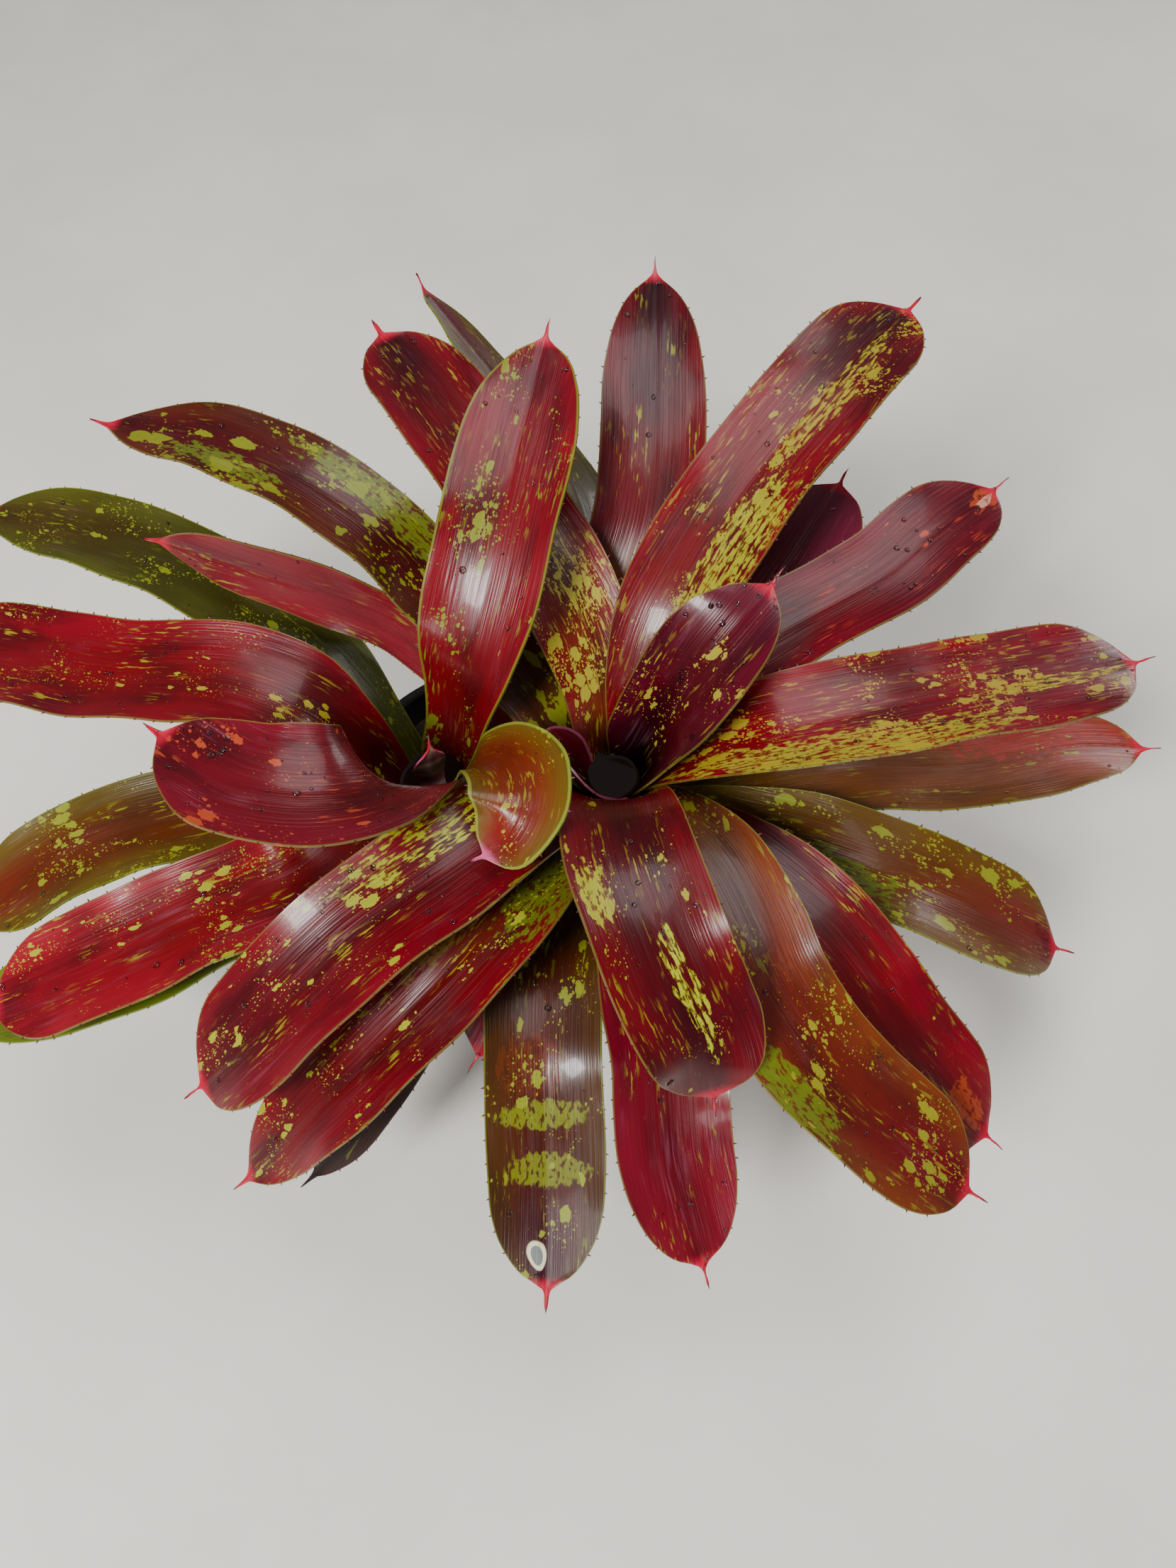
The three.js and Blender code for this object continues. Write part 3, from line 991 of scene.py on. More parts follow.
@dataclass
class StrapLeaf:
    """One leaf: a channelled blade with a spine at its tip and small teeth on its margins."""

    rosette: Rosette
    number: int
    axis: Vector
    finish: LeafFinish
    under: bpy.types.Material
    horn: bpy.types.Material
    row_step: float = 2.4 * MM
    across_faces: int = 24
    thickness: float = 0.85 * MM
    groove: float = 0.35 * MM
    wave: float = 0.8 * MM
    wave_length: float = 46 * MM
    tooth_spacing: float = 8.5 * MM
    tooth_length: float = 1.15 * MM
    bare_share: float = 0.3
    bare_tip: float = 8 * MM
    spine_curl: float = 2.0 * MM
    spine_blend: float = 4 * MM
    spine_taper: float = 0.93
    groove_width: float = 1.6 * MM

    def __post_init__(self) -> None:
        """Read the leaf's surface and lay its fine grid."""
        self.node = f"{self.rosette.value}_leaf_{self.number:02d}"
        self.surface = BladeSurface(self.node, self.axis)
        self.random = np.random.default_rng(100 * self.number + len(self.rosette.value))
        body = np.arange(0, self.surface.spine_start, self.row_step)
        spine = np.linspace(self.surface.spine_start, self.surface.length, self.surface.spine_steps)
        self.along = np.concatenate([body[:-1], spine])
        self.across = np.linspace(0, 1, self.across_faces + 1)
        self.points = self._shaped()

    def _shaped(self) -> np.ndarray:
        """Shape the fine surface: pointed spine, midrib groove and gently waved margins."""
        points = self.surface.sample(self.along, self.across)
        middle = points[:, self.across_faces // 2 : self.across_faces // 2 + 1]
        spine = ease(self.along, self.surface.spine_start - self.spine_blend, self.surface.length)
        points = middle + (points - middle) * (1 - self.spine_taper * spine**0.7)[:, None, None]
        self.normals = self._normals(points)
        offset = np.linalg.norm(points - middle, axis=2) * np.sign(self.across - 0.5)
        released = ease(self.along / self.surface.length, 0.3, 0.5) * (1 - spine)
        phase = self.random.uniform(0, math.tau, 2)
        run = math.tau * self.along / self.wave_length
        left = np.sin(run + phase[0])[:, None] * np.clip(1 - 2 * self.across, 0, 1) ** 2
        right = np.sin(0.83 * run + phase[1])[:, None] * np.clip(2 * self.across - 1, 0, 1) ** 2
        lift = self.wave * released[:, None] * (left + right)
        lift -= self.groove * released[:, None] * np.exp(-((offset / self.groove_width) ** 2))
        lift += self.spine_curl * (spine**2)[:, None]
        self.offset = offset
        return points + self.normals * lift[..., None]

    def _normals(self, points: np.ndarray) -> np.ndarray:
        """Upward unit normals of the fine surface."""
        along = np.gradient(points, axis=0)
        across = np.gradient(points, axis=1)
        return unit(np.cross(across, along))

    def _blade(self) -> bpy.types.Object:
        """Lay a grid on the leaf's surface and give it thickness."""
        rows, columns = len(self.along), len(self.across)
        piece = add_primitive(
            "grid", x_subdivisions=columns - 1, y_subdivisions=rows - 1, size=2
        )
        piece.name = f"leaf_{self.rosette.value}_{self.number:02d}"
        mesh = piece.data
        flat = np.empty(len(mesh.vertices) * 3)
        mesh.vertices.foreach_get("co", flat)
        flat = flat.reshape(-1, 3)
        column = np.rint((flat[:, 0] + 1) / 2 * (columns - 1)).astype(int)
        row = np.rint((flat[:, 1] + 1) / 2 * (rows - 1)).astype(int)
        mesh.vertices.foreach_set("co", self.points[row, column].ravel())
        mesh.uv_layers[0].name = "blade_share"
        offset = self.offset[row, column]
        half = np.abs(self.offset[:, [0, -1]]).mean(axis=1)[row]
        place = np.stack([offset, self.along[row], half - np.abs(offset)], axis=1) / MM
        blade_mm = mesh.attributes.new("blade_mm", "FLOAT_VECTOR", "POINT")
        blade_mm.data.foreach_set("vector", place.ravel())
        mesh.update()
        skin = LeafSkin(
            self.finish, f"waxy ribbed leaf {self.rosette.value} {self.number:02d}",
            self.number + (30 if self.rosette is Rosette.LEFT else 0), self.surface.length / MM,
        )
        for material in (skin.build(), self.under, self.horn):
            mesh.materials.append(material)
        apply_modifier(
            piece, "SOLIDIFY", thickness=self.thickness, offset=-1.0, material_offset=1,
            use_even_offset=False,
        )
        return piece

    def _tooth(self) -> bpy.types.Object:
        """Model one hooked marginal tooth, a unit long and pointing along +X."""
        tooth = add_primitive("cone", vertices=5, radius1=0.45, radius2=0.06, depth=1.2)
        with editing(tooth):
            bpy.ops.transform.resize(value=(0.5, 1, 1), center_override=(0, 0, 0))
            bpy.ops.transform.translate(value=(0, 0, 0.4))
        for vertex in tooth.data.vertices:
            reach = vertex.co.z
            vertex.co = Vector((reach, vertex.co.y + 0.35 * max(reach, 0) ** 2, vertex.co.x))
        return tooth

    def _teeth(self) -> bpy.types.Object:
        """Set teeth along both margins, hooked towards the tip."""
        start = self.bare_share * self.surface.length
        end = self.surface.spine_start - self.bare_tip
        places = []
        for side in (0, -1):
            spot = start + self.random.uniform(0, self.tooth_spacing)
            while spot < end:
                row = int(np.searchsorted(self.along, spot))
                outward = unit(self.points[row, side] - self.points[row, 1 if side == 0 else -2])
                onward = unit(self.points[row + 1, side] - self.points[row - 1, side])
                normal = np.cross(outward, onward)
                size = self.tooth_length * self.random.uniform(0.7, 1.2)
                root = self.points[row, side] - self.normals[row, side] * self.thickness / 2
                place = np.eye(4)
                place[:3, :3] = np.stack([outward, onward, unit(normal)], axis=1) * size
                place[:3, 3] = root
                places.append(Matrix(place.tolist()))
                spot += self.tooth_spacing * self.random.uniform(0.75, 1.25)
        teeth = copies(f"teeth_{self.node}", self._tooth(), places)
        # The slots stand in the blade's order, where horn comes third.
        for material in (self.under, self.under, self.horn):
            teeth.data.materials.append(material)
        teeth.data.polygons.foreach_set("material_index", [2] * len(teeth.data.polygons))
        return teeth

    def build(self, slot: str) -> bpy.types.Object:
        """Model the whole leaf in place of its CAD solid.

        Args:
            slot: The record's material slot for it.

        Returns:
            The finished leaf.
        """
        blade = self._blade()
        teeth = self._teeth()
        pick_only(blade)
        teeth.select_set(True)
        bpy.ops.object.join()
        smooth(blade)
        return settle(blade, slot, self.node)


# Leaf colours, from the commonest; each leaf below starts from one of these.
CRIMSON = LeafFinish()
OLIVE = LeafFinish(
    foot="#6d6a1c", middle="#7a4a1a", outer="#8a4a34", edge="#7d7a26", shade="#4d3212",
    shading=0.4, spot="#a3aa35", spots=0.35, margin="#8f9a3a",
)
PURPLE = replace(
    CRIMSON, foot="#6b1420", middle="#64182c", outer="#5c1a30", edge="#7c2036", shade="#38101e",
    spots=0.2, painted_sheen=0.2,
)
GOLD = "#b6ba36"
MOSS = "#7f8a2a"

RIGHT_FINISHES: tuple[LeafFinish, ...] = (
    LeafFinish(
        foot="#5a3a26", middle="#4b2c20", outer="#3c2219", edge="#6b4a30", shade="#2c1812",
        spots=0.0, streaks=0.05, margin="#5c4028", spine="#3a2016", roughness=0.6, painted_sheen=0.0,
    ),
    replace(
        OLIVE, middle="#8a5a2c", outer="#a0463a", edge="#8f6a34", spots=0.25,
        patches=(Patch("#a84a3c", 0.8, 0.15, 0.5, 0.7, 0.8, 0.8),),
    ),
    replace(CRIMSON, foot="#8a4a36", middle="#9a3a3e", outer="#8a2c34", shading=0.3, spots=0.1),
    replace(CRIMSON, foot="#7c5a20", middle="#8a3a30", outer="#b0485c", spots=0.1),
    replace(
        OLIVE, foot="#7a7a26", middle="#6c5a20", outer="#7c3a44", edge="#74702a", spots=0.3,
    ),
    replace(
        OLIVE, foot="#77701e", middle="#7a4f1c", outer="#8e3c30", edge="#84702a", shading=0.3,
        spots=0.4, spot_size=6.0,
        patches=(
            Patch("#7d8a24", 0.42, 0.7, 0.3, 0.5, 0.9, 0.8),
            Patch("#7a1426", 0.97, 0.5, 0.2, 1.2),
        ),
    ),
    replace(
        OLIVE, foot="#66601a", middle="#6b3818", outer="#5c1c2c", edge="#6b5520", shade="#3e2010",
        spots=0.34, spot_size=5.5, painted_sheen=0.08,
        patches=(
            Patch("#8f942c", 0.62, 0.5, 0.05, 0.8, 0.55, 0.85),
            Patch("#8f942c", 0.715, 0.5, 0.06, 0.75, 0.65, 0.8),
            Patch("#a55a24", 0.54, 0.6, 0.1, 0.6, 0.9, 0.2),
            Patch("#e0d8b8", 0.862, 0.62, 0.056, 0.25, 0.06, 1.0),
            Patch("#8f938a", 0.862, 0.62, 0.038, 0.16, 0.06, 1.0),
        ),
    ),
    replace(PURPLE, middle="#7a2c3c", outer="#8a4050", edge="#8c3c4a", spots=0.12, shading=0.3),
    replace(
        CRIMSON, foot="#74501c", middle="#6a2a1e", outer="#6b1f22", edge="#7a4a20", shade="#401612",
        spots=0.5, spot="#9aa030", spot_size=7.0,
        patches=(
            Patch(MOSS, 0.5, 0.8, 0.35, 0.4, 1.0, 0.8),
            Patch(MOSS, 0.75, 0.25, 0.2, 0.3, 1.0, 0.8),
        ),
    ),
    replace(
        CRIMSON, foot="#7a2424", middle="#86122a", outer="#8a1c2e", edge="#9c2e40", shading=0.4,
        spots=0.12, painted_sheen=0.25,
    ),
    replace(
        CRIMSON, foot="#a39a40", middle="#7c1420", outer="#4e101e", edge="#8a1424", spots=0.12,
        spot_reach=Reach.BASE, patches=(Patch("#b5a552", 0.2, 0.5, 0.28, 1.0, 0.9, 0.9, 0.4),),
    ),
    replace(
        CRIMSON, foot="#6b641c", middle="#7a1a1c", outer="#861226", spots=0.3,
        patches=(
            Patch(MOSS, 0.22, 0.3, 0.3, 0.8, 1.0, 0.8),
            Patch("#8a7a2a", 0.42, 0.75, 0.2, 0.3, 1.0, 0.6),
        ),
    ),
    replace(
        CRIMSON, foot="#701018", middle="#7e0d22", outer="#74122a", edge="#8c1a34", shading=0.45,
        spots=0.2, spot="#c0603a",
        patches=(
            Patch("#b5602a", 0.93, 0.55, 0.12, 0.6, 0.9, 0.9),
            Patch("#c9a088", 0.9, 0.6, 0.06, 0.15, 1.0),
        ),
    ),
    replace(
        CRIMSON, foot="#6a1a14", middle="#820c20", outer="#760e24", spot=GOLD, spot_side=0.35,
        painted_sheen=0.15,
        patches=(
            Patch(GOLD, 0.4, 0.82, 0.3, 0.42, 1.0, 0.95, 0.5),
            Patch(GOLD, 0.22, 0.6, 0.16, 0.8, 1.0),
        ),
    ),
    replace(
        CRIMSON, middle="#8e0c1e", outer="#86122a", edge="#a01c34", spots=0.14, painted_sheen=0.15,
        patches=(Patch("#b5602a", 0.86, 0.45, 0.1, 0.4, 0.9, 0.8),),
    ),
    replace(
        CRIMSON, foot="#8a4a24", middle="#84121e", outer="#5c101e", spots=0.5, spot="#bcb648",
        spot_reach=Reach.BASE, streaks=0.2,
        patches=(Patch("#bdb24a", 0.34, 0.7, 0.26, 0.6, 1.0, 0.8, 0.3),),
    ),
    replace(
        CRIMSON, foot="#8f6a26", middle="#7e3a1e", outer="#861428", edge="#96602c", shade="#541a14",
        spots=0.36, spot="#a9a936",
        patches=(
            Patch("#84902c", 0.62, 0.85, 0.16, 0.35, 0.9, 0.85),
            Patch("#84902c", 0.42, 0.9, 0.3, 0.3, 1.0),
            Patch("#96501e", 0.3, 0.4, 0.4, 0.9, 0.7, 0.3),
        ),
    ),
    replace(
        CRIMSON, foot="#7a2c18", middle="#86121e", outer="#5e1222", spots=0.55, spot="#b0aa36",
        spot_side=0.6, streaks=0.2,
        patches=(
            Patch("#b0ae38", 0.4, 0.75, 0.34, 0.5, 1.0, 0.95, 0.7),
            Patch("#b0a634", 0.72, 0.6, 0.3, 0.25, 1.0, 0.95, 0.6),
        ),
    ),
    replace(
        CRIMSON, foot="#7e1420", middle="#6a0e1a", outer="#7c1228", edge="#901624", shade="#3c0a14",
        shading=0.6, spots=0.3, spot="#b2b034",
        patches=(
            Patch("#b2b034", 0.5, 0.85, 0.1, 0.22, 0.9, 1.0),
            Patch(GOLD, 0.7, 0.45, 0.25, 0.18, 1.0, 1.0, 0.6),
        ),
    ),
    replace(
        CRIMSON, foot="#86141e", middle="#8e0e26", outer="#7c1c34", spots=0.42, spot="#b3a634",
        streaks=0.25,
        patches=(
            Patch("#a9a03c", 0.42, 0.86, 0.5, 0.4, 1.0, 1.0, 0.8),
            Patch("#ada032", 0.78, 0.55, 0.25, 0.14, 1.0, 1.0, 0.7),
        ),
    ),
    # Leaves 21 and 22 stand deep in the cup: their near-black feet are painted shade of the cup,
    # with some real darkening where they stay wet.
    replace(
        PURPLE, foot="#2c080c", middle="#7a1426", outer="#a82a44", edge="#9c1e36", margin="#d68aa0",
        margin_width=0.9, spine="#f0d8de", spots=0.1,
    ),
    # Its near-black foot is painted shade of the cup, with some real darkening where it stays wet.
    replace(PURPLE, foot="#1e0608", middle="#6c0e22", outer="#7c1e38", spots=0.3, spot="#b8b044"),
)

LEFT_FINISHES: tuple[LeafFinish, ...] = (
    replace(OLIVE, foot="#6b7420", middle="#74801f", outer="#7c7c26", edge="#8a9a30", spots=0.3),
    replace(OLIVE, foot="#5e661c", middle="#5c5a1c", outer="#66561e", edge="#74782a", spots=0.35),
    replace(OLIVE, foot="#6a5a1c", middle="#76461a", outer="#84401f", spots=0.4),
    replace(
        CRIMSON, foot="#7c2a1e", middle="#8e1a20", outer="#9c1e30", edge="#b0303c", spots=0.32,
        spot=GOLD, spot_size=3.8, painted_sheen=0.2,
    ),
    replace(
        CRIMSON, foot="#6e101a", middle="#8c1420", outer="#94182a", spots=0.28, spot="#b8b038",
        spot_size=3.6,
    ),
    replace(
        CRIMSON, foot="#620c1a", middle="#7a1220", outer="#84222e", edge="#902a38", spots=0.3,
        spot="#c0683a", painted_sheen=0.35,
    ),
    replace(
        CRIMSON, foot="#7c241c", middle="#8c1626", outer="#861230", edge="#9c2230", spots=0.44,
        spot="#9aa42c", spot_size=5.0, streaks=0.16, spot_side=-0.4, margin="#93a03a",
        margin_width=0.7,
    ),
    replace(
        OLIVE, foot="#6c7426", middle="#8e4a1e", outer="#982a2c", edge="#7c7c26", shade="#5a1a12",
        spots=0.32, spot="#b0b038", margin="#a0b050", margin_width=0.9, spine="#d07a92",
        patches=(Patch("#c0788a", 0.97, 0.3, 0.2, 0.8, 0.6, 0.8),),
    ),
    replace(PURPLE, foot="#5c1420", middle="#94203a", outer="#a82c44", margin="#d68aa0", spots=0.1),
)


@dataclass
class LeafRosette:
    """One rosette of leaves about its stem, from the oldest to the youngest."""

    rosette: Rosette
    finishes: tuple[LeafFinish, ...]
    under: bpy.types.Material
    horn: bpy.types.Material
    leaves: list[StrapLeaf] = field(default_factory=list)

    def __post_init__(self) -> None:
        """Find the rosette's axis from its stem."""
        low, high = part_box(f"{self.rosette.value}_stem")
        self.axis, self.crown = (low + high) / 2, high.z

    def build(self) -> None:
        """Model every leaf."""
        slots = {row["node"]: row["material_slot"] for row in frame["record"]["subparts"]}
        for number, finish in enumerate(self.finishes, start=1):
            leaf = StrapLeaf(self.rosette, number, self.axis, finish, self.under, self.horn)
            leaf.build(slots[leaf.node])
            self.leaves.append(leaf)


# ---- Stem, pot and mix --------------------------------------------------------------------


@dataclass
class Stem:
    """Short stem of a rosette, ringed with leaf scars."""

    rosette: Rosette
    segments: int = 40
    scar: float = 0.35 * MM
    scar_pitch: float = 2.2 * MM

    def build(self) -> bpy.types.Object:
        """Turn the stem on the CAD stem's profile.

        Returns:
            The finished stem.
        """
        node = f"{self.rosette.value}_stem"
        low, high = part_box(node)
        centre = (low + high) / 2
        points, _ = read_node(node)
        radius = np.hypot(points[:, 0] - centre.x, points[:, 1] - centre.y)
        rings: dict[float, float] = {}
        for height, size in zip(np.round(points[:, 2], 5), radius):
            rings[height] = max(rings.get(height, 0.0), float(size))
        heights = np.array(sorted(rings))
        sizes = np.array([rings[height] for height in heights])
        fine = np.arange(low.z, high.z, self.scar_pitch / 4)
        wall = np.interp(fine, heights, sizes)
        wall -= self.scar * (np.sin(math.tau * fine / self.scar_pitch) > 0.5)
        profile = [(max(float(r), 0.2 * MM), float(z)) for r, z in zip(wall, fine)]
        stem = turned(f"stem_{self.rosette.value}", profile, self.segments)
        cap_rings(stem)
        stem.location = (centre.x, centre.y, 0)
        apply_place(stem)
        stem.data.materials.append(STEM_FINISH.build())
        smooth(stem)
        return settle(stem, "stem_tissue", node)


@dataclass
class NurseryPot:
    """Moulded nursery pot: tapered wall, stepped collar, rolled lip, drain holes."""

    segments: int = 128
    wall: float = 1.8 * MM
    floor: float = 2.4 * MM
    collar: float = 14 * MM
    lip: float = 1.4 * MM
    drain_holes: int = 8
    drain_radius: float = 5 * MM
    drain_inset: float = 13 * MM
    foot_share: float = 55 / 77.4

    def _cutter(self, foot: float) -> bpy.types.Object:
        """Model the drills that cut the drain holes, as one object."""
        drills = []
        for number in range(self.drain_holes):
            angle = math.tau * number / self.drain_holes
            ring = foot - self.drain_inset
            place = (ring * math.cos(angle), ring * math.sin(angle), 0)
            drills.append(add_primitive(
                "cylinder", vertices=32, radius=self.drain_radius, depth=4 * self.floor,
                location=place,
            ))
        pick_only(drills[0])
        for drill in drills:
            drill.select_set(True)
        bpy.ops.object.join()
        return drills[0]

    def build(self) -> bpy.types.Object:
        """Turn the pot from the middle of its underside up and over into the inside.

        Returns:
            The finished pot.
        """
        low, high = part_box("pot")
        rim, height = high.x - self.lip, high.z
        foot = high.x * self.foot_share
        below_collar = height - self.collar
        narrow = foot + (rim - 2.2 * MM - foot) * below_collar / height
        half = self.wall / 2
        underside = [
            (0.3 * MM, 0.8 * MM), (foot * 0.55, 0.8 * MM), (foot - 6 * MM, 0.8 * MM),
            (foot - 5 * MM, 0), (foot - half, 0), (foot - 0.3 * MM, 0.3 * MM),
        ]
        wall_and_collar = [
            (foot, half), (foot + 0.4 * MM, 3 * MM),
            (narrow - 0.2 * MM, below_collar - 0.6 * MM), (narrow + 0.5 * MM, below_collar),
            (narrow + 1.8 * MM, below_collar + 0.3 * MM),
            (narrow + 2.2 * MM, below_collar + 1.1 * MM),
        ]
        rolled_lip = [
            (rim - 0.2 * MM, height - 3.6 * MM), (rim, height - 2.8 * MM),
            (rim + 0.9 * self.lip, height - 2.2 * MM), (rim + self.lip, height - 1.4 * MM),
            (rim + 0.8 * self.lip, height - 0.5 * MM), (rim, height),
            (rim - 1.4 * MM, height - 0.1 * MM), (rim - 3.4 * MM, height - 1.0 * MM),
        ]
        inside = [
            (rim - 4.0 * MM, height - 2.6 * MM), (foot - self.wall + 0.6 * MM, self.floor + 2 * MM),
            (foot - self.wall - MM, self.floor), (foot * 0.5, self.floor), (0.3 * MM, self.floor),
        ]
        profile = [*underside, *wall_and_collar, *rolled_lip, *inside]
        pot = turned("nursery_pot", profile, self.segments)
        cap_rings(pot)
        cutter = self._cutter(foot)
        apply_modifier(pot, "BOOLEAN", operation="DIFFERENCE", object=cutter, solver="EXACT")
        bpy.data.objects.remove(cutter)
        pot.data.materials.clear()
        pot.data.materials.append(POT_FINISH.build())
        smooth(pot, 35)
        return settle(pot, "pot_plastic", "pot")


@dataclass
class PottingMix:
    """Bark mix: a crumbly surface with loose bark chips and grains of perlite on it."""

    segments: int = 120
    ring_step: float = 2.2 * MM
    lump: float = 1.6 * MM
    chips: int = 380
    grains: int = 90
    chip_size: float = 4.6 * MM
    grain_size: float = 1.7 * MM
    dome: float = 1.5 * MM
    foot_share: float = 0.74

    def __post_init__(self) -> None:
        """Measure the fill from the CAD."""
        self.low, self.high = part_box("potting_mix")
        self.radius = self.high.x
        self.stems = []
        for rosette in Rosette:
            low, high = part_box(f"{rosette.value}_stem")
            self.stems.append(((low + high) / 2, (high.x - low.x) / 2))
        self.random = np.random.default_rng(7)

    def _fall(self, reach: float) -> float:
        """How far the domed surface lies below its middle at a distance from it."""
        return self.dome * (reach / self.radius) ** 2

    def _bed(self) -> bpy.types.Object:
        """Turn the fill and roughen its top."""
        top, floor = self.high.z - self.lump, self.low.z
        rings = np.arange(self.radius, self.ring_step, -self.ring_step)
        crown = [(float(r), top - self._fall(float(r))) for r in rings]
        profile = [
            (MM, floor), (self.radius * self.foot_share, floor),
            (self.radius * 0.99, top - 4 * MM), *crown, (MM, top),
        ]
        bed = turned("potting_bed", profile, self.segments)
        cap_rings(bed)
        for vertex in bed.data.vertices:
            if vertex.co.z > top - 3 * MM:
                rough = noise.noise(vertex.co * 160) + 0.5 * noise.noise(vertex.co * 420)
                vertex.co.z += self.lump * 0.7 * rough
        return bed

    def _chip(self) -> bpy.types.Object:
        """Model one rough flake of bark."""
        chip = add_primitive("cube", size=1)
        with editing(chip):
            bpy.ops.mesh.subdivide(number_cuts=1, smoothness=0.4)
            bpy.ops.transform.resize(value=(1, 0.62, 0.34), center_override=(0, 0, 0))
        # Plain noise on each axis, because noise_vector gives other values in each run.
        for vertex in chip.data.vertices:
            spots = [vertex.co * 3.1 + Vector((0, 0, 7.3 * axis)) for axis in range(3)]
            vertex.co += 0.16 * Vector([noise.noise(spot) for spot in spots])
        return chip

    def _grain(self) -> bpy.types.Object:
        """Model one knobbly grain of perlite."""
        grain = add_primitive("ico_sphere", subdivisions=2, radius=0.5)
        for vertex in grain.data.vertices:
            vertex.co *= 1 + 0.3 * noise.noise(vertex.co * 3.7)
        return grain

    def _scattered(self, count: int, size: float, lift: float) -> list[Matrix]:
        """Lay loose pieces on the mix, clear of the stems and the wall.

        Args:
            count: How many pieces.
            size: Their usual size.
            lift: Height of a piece's middle above the mix, as a share of its size.

        Returns:
            A place for each piece.
        """
        places: list[Matrix] = []
        while len(places) < count:
            reach = self.radius * math.sqrt(self.random.uniform(0, 0.93))
            angle = self.random.uniform(0, math.tau)
            spot = Vector((reach * math.cos(angle), reach * math.sin(angle), 0))
            if any((spot - Vector((c.x, c.y, 0))).length < r + size * 0.6 for c, r in self.stems):
                continue
            scale = size * self.random.uniform(0.5, 1.3)
            spot.z = self.high.z - self.lump - self._fall(reach) + scale * lift
            tilt = Matrix.Rotation(self.random.normal(0, 0.35), 4, "X")
            turn = Matrix.Rotation(self.random.uniform(0, math.tau), 4, "Z")
            places.append(Matrix.Translation(spot) @ turn @ tilt @ Matrix.Scale(scale, 4))
        return places

    def build(self) -> None:
        """Model the fill, the bark chips and the perlite."""
        bed = self._bed()
        bed.data.materials.append(SOIL_FINISH.build())
        smooth(bed, 60)
        settle(bed, "bark_mix", "potting_mix")
        places = self._scattered(self.chips, self.chip_size, 0.1)
        chips = copies("bark_chips", self._chip(), places)
        chips.data.materials.append(BARK_FINISH.build())
        smooth(chips, 30)
        settle(chips, "bark_mix")
        places = self._scattered(self.grains, self.grain_size, 0.3)
        grains = copies("perlite_grains", self._grain(), places)
        grains.data.materials.append(PERLITE_FINISH.build())
        settle(grains, "bark_mix")


# ---- Water --------------------------------------------------------------------------------


@dataclass
class CupWater:
    """Water standing in the heart of a rosette, up against the leaf bases."""

    rosette: LeafRosette
    material: bpy.types.Material
    depth: float = 13 * MM
    above_crown: float = 5 * MM
    headings: int = 48
    widest: float = 19 * MM
    dish: float = 12 * MM
    overlap: float = 0.3 * MM

    def _outline(self, level: float) -> np.ndarray:
        """Measure how far out the innermost leaf base lies at each heading."""
        centre = np.array(self.rosette.axis[:2])
        points = np.concatenate([leaf.points.reshape(-1, 3) for leaf in self.rosette.leaves])
        near = points[np.abs(points[:, 2] - level) < 3 * MM]
        off = near[:, :2] - centre
        reach, heading = np.hypot(*off.T), np.arctan2(off[:, 1], off[:, 0])
        radii = np.full(self.headings, np.nan)
        for number in range(self.headings):
            ahead = heading - math.tau * number / self.headings
            apart = np.abs((ahead + math.pi) % math.tau - math.pi)
            close = reach[(apart < 0.2) & (reach < self.widest)]
            if len(close):
                radii[number] = close.min() + self.overlap
        radii = np.where(np.isnan(radii), np.nanmedian(radii), radii)
        return (np.roll(radii, 1) + 2 * radii + np.roll(radii, -1)) / 4

    def build(self) -> bpy.types.Object:
        """Model the water as a dish-shaped body with a level top.

        Returns:
            The finished water.
        """
        level = self.rosette.crown + self.above_crown
        outline = self._outline(level)
        water = turned(f"cup_water_{self.rosette.rosette.value}", [
            (0.5 * MM, level - self.depth * 0.8), (6 * MM, level - self.depth * 0.6),
            (10 * MM, level - 3 * MM), (self.dish, level - 0.6 * MM), (self.dish, level),
            (11.6 * MM, level - 0.1 * MM), (10 * MM, level - 0.14 * MM),
            (0.5 * MM, level - 0.15 * MM),
        ], self.headings)
        cap_rings(water)
        for vertex in water.data.vertices:
            turn = math.atan2(vertex.co.y, vertex.co.x) % math.tau
            reach = outline[int(round(turn / math.tau * self.headings)) % self.headings]
            vertex.co.x *= reach / self.dish
            vertex.co.y *= reach / self.dish
            vertex.co += Vector((self.rosette.axis.x, self.rosette.axis.y, 0))
        water.data.materials.append(self.material)
        smooth(water)
        return settle(water, "leaf_crimson")


# Drops on each of the wetter leaves, by leaf number.
DEW_COUNTS: dict[Rosette, dict[int, int]] = {
    Rosette.RIGHT: {
        7: 16, 10: 16, 11: 20, 13: 26, 14: 26, 16: 22, 17: 22, 18: 30, 19: 20, 20: 36, 22: 40,
    },
    Rosette.LEFT: {4: 20, 5: 24, 6: 40, 7: 26},
}


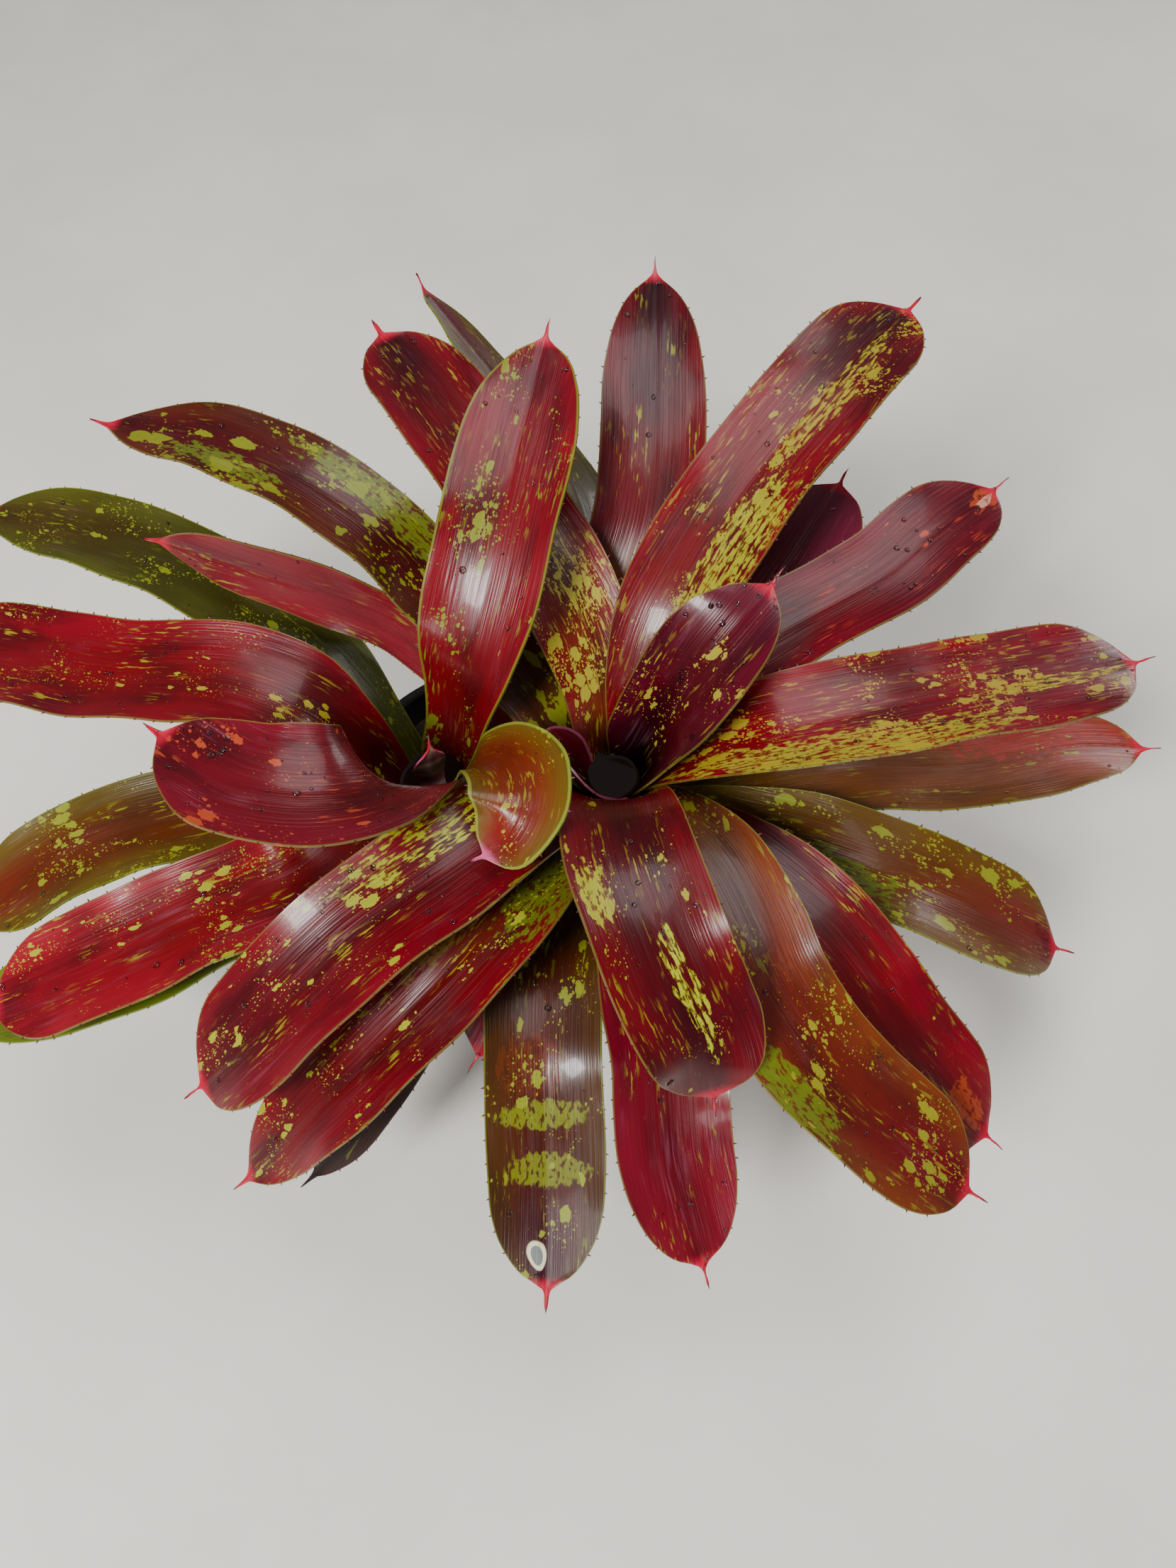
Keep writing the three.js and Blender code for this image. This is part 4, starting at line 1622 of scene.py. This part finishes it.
@dataclass
class Dew:
    """Drops of water left on the leaves."""

    rosette: LeafRosette
    material: bpy.types.Material
    drops: dict[int, int]
    largest: float = 1.5 * MM
    smallest: float = 0.5 * MM
    usual_count: int = 6

    def _drop(self) -> bpy.types.Object:
        """Model one drop as a domed bead, flat where it sits."""
        drop = add_primitive("ico_sphere", subdivisions=2, radius=1)
        for vertex in drop.data.vertices:
            vertex.co.z *= 0.55 if vertex.co.z > 0 else 0.12
        return drop

    def build(self) -> bpy.types.Object:
        """Scatter the drops on the chosen leaves.

        Returns:
            The finished drops, as one object.
        """
        random = np.random.default_rng(23 + len(self.rosette.rosette.value))
        places = []
        for leaf in self.rosette.leaves:
            rows, columns = leaf.points.shape[:2]
            for _ in range(self.drops.get(leaf.number, self.usual_count)):
                row = int(random.uniform(0.4, 0.93) * rows)
                column = int(random.uniform(0.08, 0.92) * columns)
                size = self.smallest + (self.largest - self.smallest) * random.random() ** 3
                normal = Vector(leaf.normals[row, column])
                turn = normal.to_track_quat("Z", "Y").to_matrix().to_4x4()
                spread = Matrix.Diagonal((*(size * random.uniform(0.8, 1.2, 2)), size, 1))
                places.append(Matrix.Translation(Vector(leaf.points[row, column])) @ turn @ spread)
        dew = copies(f"dew_{self.rosette.rosette.value}", self._drop(), places)
        dew.data.materials.append(self.material)
        return settle(dew, "leaf_crimson")


# ---- Studio -------------------------------------------------------------------------------


@dataclass
class Studio:
    """Pale floor, soft lights and the camera, which looks down on the plant from the front."""

    eye: Vector = Vector((0.037, -0.263, 0.598))
    tilt_down: float = 60.0
    lens: float = 27.03
    sensor: float = 36.0
    target: Vector = Vector((0, 0, 0.2))
    floor_size: float = 8.0
    surroundings: str = "#e8e8ea"
    surroundings_strength: float = 0.22

    def _floor(self) -> None:
        """Lay a wide matt floor."""
        floor = add_primitive("plane", size=self.floor_size)
        floor.name = "floor"
        floor.data.materials.append(FLOOR_FINISH.build())

    def _light(
        self, name: str, place: tuple[float, float, float], size: float, power: float
    ) -> None:
        """Hang a square soft light that faces the plant."""
        data = bpy.data.lights.new(name, "AREA")
        data.size, data.energy = size, power
        light = bpy.data.objects.new(name, data)
        light.location = place
        aim = self.target - Vector(place)
        light.rotation_euler = aim.to_track_quat("-Z", "Y").to_euler()
        bpy.context.scene.collection.objects.link(light)

    def build(self) -> None:
        """Set the floor, the lights, the surroundings and the camera."""
        self._floor()
        self._light("key", (-0.75, -1.0, 1.6), 0.5, 52)
        self._light("sky", (0.25, 0.45, 2.2), 1.3, 24)
        self._light("rim", (1.3, 0.9, 0.9), 0.5, 7)
        self._light("front", (-0.35, -1.5, 0.55), 0.5, 6)
        world = bpy.data.worlds.new("pale room")
        world.use_nodes = True
        inputs = world.node_tree.nodes["Background"].inputs
        inputs["Color"].default_value = linear(self.surroundings)
        inputs["Strength"].default_value = self.surroundings_strength
        bpy.context.scene.world = world
        data = bpy.data.cameras.new("camera")
        data.lens, data.sensor_width, data.sensor_fit = self.lens, self.sensor, "AUTO"
        data.clip_start, data.clip_end = 0.01, 30.0
        camera = bpy.data.objects.new("camera", data)
        camera.location = self.eye
        camera.rotation_euler = (math.radians(90 - self.tilt_down), 0, 0)
        bpy.context.scene.collection.objects.link(camera)
        bpy.context.scene.camera = camera


def main() -> None:
    """Build the plant, its pot and the studio, and note the sizes."""
    logging.basicConfig(level=logging.INFO, format="%(message)s")
    Studio().build()
    NurseryPot().build()
    PottingMix().build()
    water = WaterFinish().build()
    # The cup water is opaque and near black: painted shade standing for the dark depth of the cup.
    shade_dark_cup_water = WaterFinish("deep cup water", tint_or_painted_shade="#1a0e0a", clearness=0.0, specular=0.04).build()
    under, horn = UnderFinish().build(), SPINE_FINISH.build()
    for side, finishes in ((Rosette.RIGHT, RIGHT_FINISHES), (Rosette.LEFT, LEFT_FINISHES)):
        Stem(side).build()
        rosette = LeafRosette(side, finishes, under, horn)
        rosette.build()
        CupWater(rosette, shade_dark_cup_water).build()
        Dew(rosette, water, DEW_COUNTS[side]).build()


if __name__ == "__main__":
    main()
